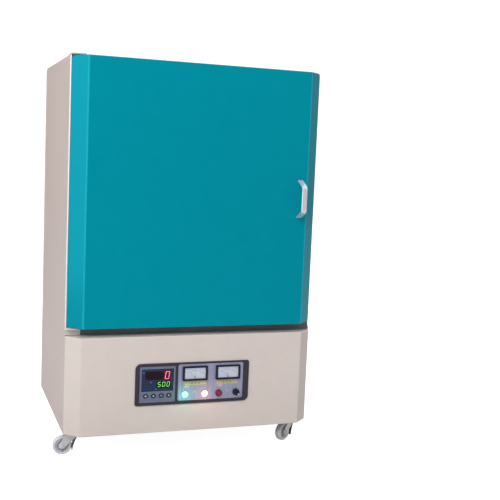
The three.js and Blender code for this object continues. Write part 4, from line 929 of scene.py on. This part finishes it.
for number, sign in enumerate(SIGNS, 1):
    key = f"controller_key_{number}"
    low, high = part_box(key)
    x, _, z = middle_of(key)
    half_w, _, half_h = (high - low) / 2
    rings = [[(a, low.y + back, b) for a, b in round_ring(x, z, half_w * share, half_h * share, 40)]
             for share, back in KEY_LEVELS]
    settled(smoothed(fit(f"{key}_cap", skinned(key, rings), key_rubber, key, [key])))
    dish = round_ring(x, z, half_w * DISH_SHARE, half_h * DISH_SHARE, 32)
    lines = [(x + a, z + b) for a, b in sign]
    for part, ring, front, back, finished in (("dish", dish, 0.0004, 0.0009, key_dish),
                                              ("sign", lines, 0.0002, 0.0006, key_sign)):
        name = f"{key}_{part}"
        fit(name, plates(name, [ring], low.y + front, low.y + back), finished, key)

# ---- Instrument plate ----
# A lilac-silver anodised plate with a fine upright brush and a bright lip, printed with pale yellow
# name strips that carry plain marks in place of words.
plate_anodised = finish(
    "plate_anodised", (0.26, 0.28, 0.43), (0.41, 0.43, 0.60), 0.36, size=70.0, stretch=(7.0, 1.0, 0.12),
    metal=0.25, spread=0.08, relief=0.1, wear_and_highlight=0.6, edge_colour=(0.80, 0.79, 0.88))
strip_yellow = finish("strip_yellow", (0.46, 0.43, 0.23), (0.55, 0.52, 0.31), 0.55, size=70.0,
                      stretch=(1.0, 1.0, 3.0))
strip_faint = finish("strip_faint", (0.50, 0.46, 0.34), (0.66, 0.62, 0.42), 0.55, size=90.0)
print_dark = finish("print_dark", (0.05, 0.045, 0.04), (0.12, 0.11, 0.09), 0.6, size=300.0)
PRINT_T = 0.00012
STRIP_W, STRIP_H, STRIP_DROP = 0.0610, 0.0104, 0.0083
STRIP_SHIFTS = (0.0024, -0.0007)
SIDE_LABEL_X, SIDE_LABEL_Z, SIDE_LABEL_W, SIDE_LABEL_H = -0.0215, -0.0088, 0.0125, 0.0040
LAMP_LABEL_X, LAMP_LABEL_Z, LAMP_LABEL_W, LAMP_LABEL_H = 0.0006, -0.0240, 0.0058, 0.0062
MARK_PITCH = 0.0092
soft_edged("instrument_plate", plate_anodised, 0.0006)
low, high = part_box("instrument_plate")
strip_front, strip_back = low.y - PRINT_T, low.y + 0.0002
strips, faint, marks = [], [], []
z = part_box("ammeter")[0].z - STRIP_DROP
for x, shift in zip((middle_of("ammeter").x, middle_of("voltmeter").x), STRIP_SHIFTS):
    strips.append(box_ring(x + shift, z, STRIP_W, STRIP_H, 0.0008))
    faint.append(box_ring(x + SIDE_LABEL_X, z + SIDE_LABEL_Z, SIDE_LABEL_W, SIDE_LABEL_H, 0.0006))
    faint.append(box_ring(x + LAMP_LABEL_X, z + LAMP_LABEL_Z, LAMP_LABEL_W, LAMP_LABEL_H, 0.0006))
    for k in (-1, 0, 1):
        middle = x + shift + k * MARK_PITCH
        marks.append(box_ring(middle, z + 0.0016, 0.0040, 0.0010))
        marks.append(box_ring(middle, z - 0.0018, 0.0048 - 0.0008 * (k + 1), 0.0010))
        marks.append(box_ring(middle + 0.0008 * k, z - 0.0001, 0.0010, 0.0034))
    marks.append(box_ring(x + LAMP_LABEL_X, z + LAMP_LABEL_Z, 0.0008, 0.0046))
for name, outlines, front, ink in (("name_strips", strips, strip_front, strip_yellow),
                                   ("small_strips", faint, strip_front, strip_faint),
                                   ("strip_marks", marks, strip_front - PRINT_T, print_dark)):
    fit(name, plates(name, outlines, front, strip_back), ink, "cabinet")

# ---- Meters ----
# Two moving-iron panel meters in black moulded cases. Each has a printed white dial with an arc
# scale and figures, a clear window over it, and its own needle on a pivot low in the middle.
meter_case = finish("meter_case", (0.003, 0.004, 0.014), (0.007, 0.010, 0.026), 0.22, size=150.0,
                    relief=0.15, wear_and_highlight=0.2, edge_colour=(0.05, 0.06, 0.11), plain={"Specular IOR Level": 0.3})
dial_card = finish("dial_card", (0.56, 0.62, 0.76), (0.63, 0.69, 0.82), 0.6, size=24.0, relief=0.05)
dial_print = finish("dial_print", (0.12, 0.13, 0.18), (0.26, 0.27, 0.34), 0.6, size=200.0)
clear_window = finish("clear_window", (0.80, 0.84, 0.95), (0.90, 0.93, 1.0), 0.06, size=20.0,
                      spread=0.02, relief=0.01, plain={"Alpha": 0.12, "Specular IOR Level": 0.6})
needle_paint = finish("needle_paint", (0.035, 0.030, 0.040), (0.060, 0.050, 0.060), 0.5, size=200.0)
pivots = {j["child"]: j["pos_m"] for j in frame["joints"] if j["name"].endswith("needle_swing")}
DIAL_W, DIAL_H = 0.0581, 0.0296
DIAL_UP, DIAL_DEEP = 0.0003, 0.0040
SCALE_R = 0.0190
SCALE_T = 0.00055
SCALE_SPREAD = 1.28
SCALE_SPAN = math.radians(50)
SCALE_STEPS = 40
TICKS = 10
LONG_TICK, SHORT_TICK = (0.0030, 0.010), (0.0018, 0.006)
FIGURE_SIZE, FIGURE_SPREAD = 0.0036, 1.5
BLADE_TAIL, BLADE_HALF, BLADE_TIP_HALF = 0.0020, 0.00045, 0.00010
BOSS_R = 0.0017


def on_scale(pivot, radius, angle):
    """A place on a meter's dial, which spreads wider than it is high."""
    return (pivot.x + radius * math.sin(angle) * SCALE_SPREAD, pivot.z + radius * math.cos(angle))


def printed_figure(text, x, y, z):
    """A generic figure printed on a dial, as a mesh."""
    words = bpy.data.curves.new("scale_figure", "FONT")
    words.body = text
    words.size = FIGURE_SIZE
    words.extrude = 0.00004
    words.align_x = "CENTER"
    words.align_y = "CENTER"
    holder = placed("scale_figure", words)
    mesh = worked_mesh(holder)
    mesh.transform(Matrix.Translation((x, y, z)) @ Matrix.Rotation(math.pi / 2, 4, "X"))
    bpy.data.objects.remove(holder)
    return mesh


for name, top_mark in (("ammeter", "8"), ("voltmeter", "5")):
    low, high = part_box(name)
    soft_edged(name, meter_case, 0.0009, 3, name=f"{name}_case")
    needle = f"{name}_needle"
    pivot = Vector(pivots[needle])
    dial_y = low.y + DIAL_DEEP
    sheet = box_ring(pivot.x, middle_of(name).z + DIAL_UP, DIAL_W, DIAL_H, 0.0008)
    lines = []
    for k in range(SCALE_STEPS):
        a, b = (-SCALE_SPAN + 2 * SCALE_SPAN * m / SCALE_STEPS for m in (k, k + 1))
        lines.append([on_scale(pivot, r, t) for r, t in (
            (SCALE_R + SCALE_T, a), (SCALE_R + SCALE_T, b), (SCALE_R, b), (SCALE_R, a))])
    for k in range(TICKS + 1):
        t = -SCALE_SPAN + 2 * SCALE_SPAN * k / TICKS
        reach, thick = SHORT_TICK if k % 5 else LONG_TICK
        lines.append([on_scale(pivot, r, s) for r, s in (
            (SCALE_R, t - thick), (SCALE_R, t + thick), (SCALE_R + reach, t + thick),
            (SCALE_R + reach, t - thick))])
    lines.append(box_ring(pivot.x, pivot.z + 0.0068, 0.0012, 0.0058))
    lines.append(box_ring(pivot.x, pivot.z + 0.0036, 0.0034, 0.0009))
    for part, outlines, front, back, material in (
            ("dial", [sheet], dial_y - 0.00018, dial_y + 0.0002, dial_card),
            ("scale", lines, dial_y - 0.00026, dial_y - 0.0001, dial_print)):
        fit(f"{name}_{part}", plates(f"{name}_{part}", outlines, front, back), material, "cabinet")
    figures = []
    for text, share in (("0", -1.0), (top_mark, 0.0), (top_mark + "0", 1.0)):
        t = SCALE_SPAN * share * 0.98
        rise = SCALE_R + 0.0008 if share else SCALE_R - 0.0030
        figures.append(printed_figure(text, pivot.x + rise * math.sin(t) * FIGURE_SPREAD,
                                      dial_y - 0.00024, pivot.z + rise * math.cos(t) - 0.0006))
    fit(f"{name}_figures", together(figures, f"{name}_figures"), dial_print, "cabinet")
    pane = plates(f"{name}_window", [sheet], low.y + 0.0006, low.y + 0.0011)
    fit(f"{name}_window", pane, clear_window, "cabinet")
    corners = [Vector((v.co.x - pivot.x, v.co.z - pivot.z)) for v in nodes[needle].data.vertices]
    reach = max(corner.length for corner in corners)
    tips = [corner for corner in corners if corner.length > reach - 0.0006]
    aim = sum(tips, Vector((0.0, 0.0))).normalized()
    wide = Vector((-aim.y, aim.x))
    tail, tip = aim * -BLADE_TAIL, aim * (reach - 0.0001)
    outline = [(pivot.x + p.x, pivot.z + p.y) for p in (
        tail - wide * BLADE_HALF, tip - wide * BLADE_TIP_HALF, tip + wide * BLADE_TIP_HALF,
        tail + wide * BLADE_HALF)]
    boss = round_ring(pivot.x, pivot.z, BOSS_R, BOSS_R, 20)
    low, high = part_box(needle)
    blade = together([plates("needle_blade", [outline], low.y, (low.y + high.y) / 2),
                      plates("needle_boss", [boss], low.y, high.y)], f"{needle}_blade")
    fit(f"{needle}_blade", blade, needle_paint, needle, [needle])

# ---- Lamps ----
# Two lit indicator lamps with moulded domed lenses, one green and one amber, each in a thin collar
# and bright in the middle. Their light spills over the plate, the bezel and the plinth below.
collar_chrome = finish("collar_chrome", (0.40, 0.41, 0.45), (0.62, 0.63, 0.68), 0.2, size=300.0, metal=0.9)


def lamp_lens(name, centre, radius, rim, middle, strength):
    """A lens plastic that is bright in the middle and coloured at its rim."""
    material = finish(name, [c * 0.3 for c in rim], [c * 0.3 for c in middle], 0.18, size=300.0,
                      relief=0.1)
    tree = material.node_tree
    spot = lay(tree, "TexCoord")
    away = lay(tree, "VectorMath", {0: spot.outputs["Object"], 1: centre}, operation="DISTANCE")
    edge = lay(tree, "MapRange", {
        "Value": away.outputs["Value"], "From Min": radius * 0.74, "From Max": radius * 1.05},
        interpolation_type="SMOOTHSTEP")
    return shining(material, mixed(tree, edge.outputs["Result"], colour(middle), colour(rim)), strength)


LENS_INSET = 0.0004
GLOW_IN = 0.002
COLLAR_W = 0.0012
SEAT_LIFT = 0.0003
LAMP_SHINE = 0.96
SPILL_OUT, SPILL_DROP, SPILL_R = 0.017, 0.003, 0.006
LENS = [(0.0, -0.0005), (0.97, -0.0005), (1.0, 0.0008), (0.985, 0.0018), (0.93, 0.0030), (0.82, 0.0044),
        (0.66, 0.0055), (0.46, 0.0062), (0.24, 0.0066), (0.0, 0.0067)]
plate_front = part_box("instrument_plate")[0].y
seat_front = plate_front - SEAT_LIFT
for name, rim, middle, glow, watts in (
        ("green_lamp", (0.20, 0.86, 0.66), (0.60, 1.0, 0.90), (0.03, 0.80, 0.45), 0.034),
        ("amber_lamp", (1.0, 0.82, 0.58), (1.0, 0.92, 0.76), (1.0, 0.40, 0.25), 0.028)):
    low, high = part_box(name)
    centre = Vector((middle_of(name).x, low.y + GLOW_IN, middle_of(name).z))
    radius = (high.x - low.x) / 2
    seat = (centre.x, seat_front, centre.z)
    lens_plastic = lamp_lens(f"{name}_plastic", centre, radius, rim, middle, LAMP_SHINE)
    lens_mesh = turned([(r * (radius - LENS_INSET), h) for r, h in LENS], 40, seat, (0, -1, 0))
    settled(smoothed(fit(f"{name}_lens", lens_mesh, lens_plastic, "cabinet", [name])))
    inner = radius - COLLAR_W
    collar = turned([(inner, -0.0001), (radius, -0.0001), (radius, 0.0007), (radius - 0.0004, 0.0011),
                     (inner, 0.0011), (inner, -0.0001)], 40, seat, (0, -1, 0))
    settled(smoothed(fit(f"{name}_collar", collar, collar_chrome, "cabinet")))
    spill = bpy.data.lights.new(f"{name}_spill", "POINT")
    spill.energy = watts
    spill.color = glow
    spill.shadow_soft_size = SPILL_R
    source = placed(f"{name}_spill", spill)
    source.location = (centre.x, plate_front - SPILL_OUT, centre.z - SPILL_DROP)
    source.visible_glossy = False

# ---- Push button ----
# A crimson moulded button with a darker rim, slightly dished where the thumb goes; it springs back.
button_red = finish("button_red", (0.10, 0.004, 0.030), (0.17, 0.010, 0.050), 0.28, size=160.0,
                    relief=0.1, wear_and_highlight=0.4, edge_colour=(0.30, 0.06, 0.12))
button_middle = finish("button_middle", (0.19, 0.012, 0.055), (0.28, 0.022, 0.085), 0.3, size=160.0)
CAP_DEEP = 0.0048
STEM_R, STEM_L = 0.0048, 0.020
low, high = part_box("red_push_button")
radius = (high.x - low.x) / 2
back = (middle_of("red_push_button").x, low.y + CAP_DEEP, middle_of("red_push_button").z)
button = turned([(0.0, -STEM_L), (STEM_R, -STEM_L), (STEM_R, 0.0), (radius, 0.0), (radius, 0.0030),
                 (radius - 0.0005, 0.0042), (radius - 0.0014, CAP_DEEP), (radius - 0.0024, 0.0046),
                 (radius - 0.0030, 0.0040), (0.0, 0.0038)], 40, back, (0, -1, 0))
settled(smoothed(fit("red_push_button_cap", button, button_red, "red_push_button",
                     ["red_push_button"])))
middle = turned([(0.0, 0.0030), (radius - 0.0034, 0.0030), (radius - 0.0034, 0.0042),
                 (radius - 0.0042, 0.0045), (radius * 0.3, 0.0041), (0.0, 0.0040)], 36, back, (0, -1, 0))
settled(smoothed(fit("red_push_button_middle", middle, button_middle, "red_push_button")))

# ---- Selector knob ----
# A black moulded knob with a fluted skirt and a raised pointer bar, with a white line let into the
# bar's tip so that the setting can be read.
knob_black = finish("knob_black", (0.003, 0.004, 0.012), (0.008, 0.010, 0.024), 0.17, size=200.0,
                    relief=0.1, wear_and_highlight=0.2, edge_colour=(0.06, 0.07, 0.12), plain={"Specular IOR Level": 0.3})
line_white = finish("line_white", (0.70, 0.72, 0.78), (0.88, 0.89, 0.92), 0.5, size=300.0)
KNOB_R = 0.0095
KNOB_LEVELS = [(1.0, 0.0, 0.0), (1.0, 0.0022, 0.0), (0.96, 0.0030, 1.0), (0.84, 0.0105, 1.0),
               (0.76, 0.0118, 0.3), (0.60, 0.0121, 0.0)]
FLUTES, FLUTE_DEEP = 24, 0.00045
POINTER_TURN = math.radians(135)
BAR_DEEP, LINE_PROUD = 0.0100, 0.00016
low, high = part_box("selector_knob")
x, _, z = next(j["pos_m"] for j in frame["joints"] if j["name"] == "selector_turn")
rings = []
for share, rise, flute in KNOB_LEVELS:
    ring = []
    for i in range(FLUTES * 3):
        t = 2 * math.pi * i / (FLUTES * 3)
        r = KNOB_R * share - flute * FLUTE_DEEP * (0.5 + 0.5 * math.cos(FLUTES * t))
        ring.append((x + r * math.cos(t), seat_front - rise, z + r * math.sin(t)))
    rings.append(ring)
settled(smoothed(fit("selector_knob_grip", skinned("selector_knob_grip", rings), knob_black,
                     "selector_knob", ["selector_knob"])))
bar_front = low.y + 0.0002
for name, half_long, half_wide, offset, front, material in (
        ("selector_knob_bar", 0.0084, 0.0017, 0.0, bar_front, knob_black),
        ("selector_knob_line", 0.0027, 0.0011, 0.0052, bar_front - LINE_PROUD, line_white)):
    ring = [(-half_wide, offset - half_long), (half_wide, offset - half_long),
            (half_wide, offset + half_long * 0.8), (half_wide * 0.5, offset + half_long),
            (-half_wide * 0.5, offset + half_long), (-half_wide, offset + half_long * 0.8)]
    mesh = plates(name, [ring], front, plate_front - BAR_DEEP)
    mesh.transform(Matrix.Translation((x, 0.0, z)) @ Matrix.Rotation(POINTER_TURN, 4, "Y"))
    fit(name, mesh, material, "selector_knob")
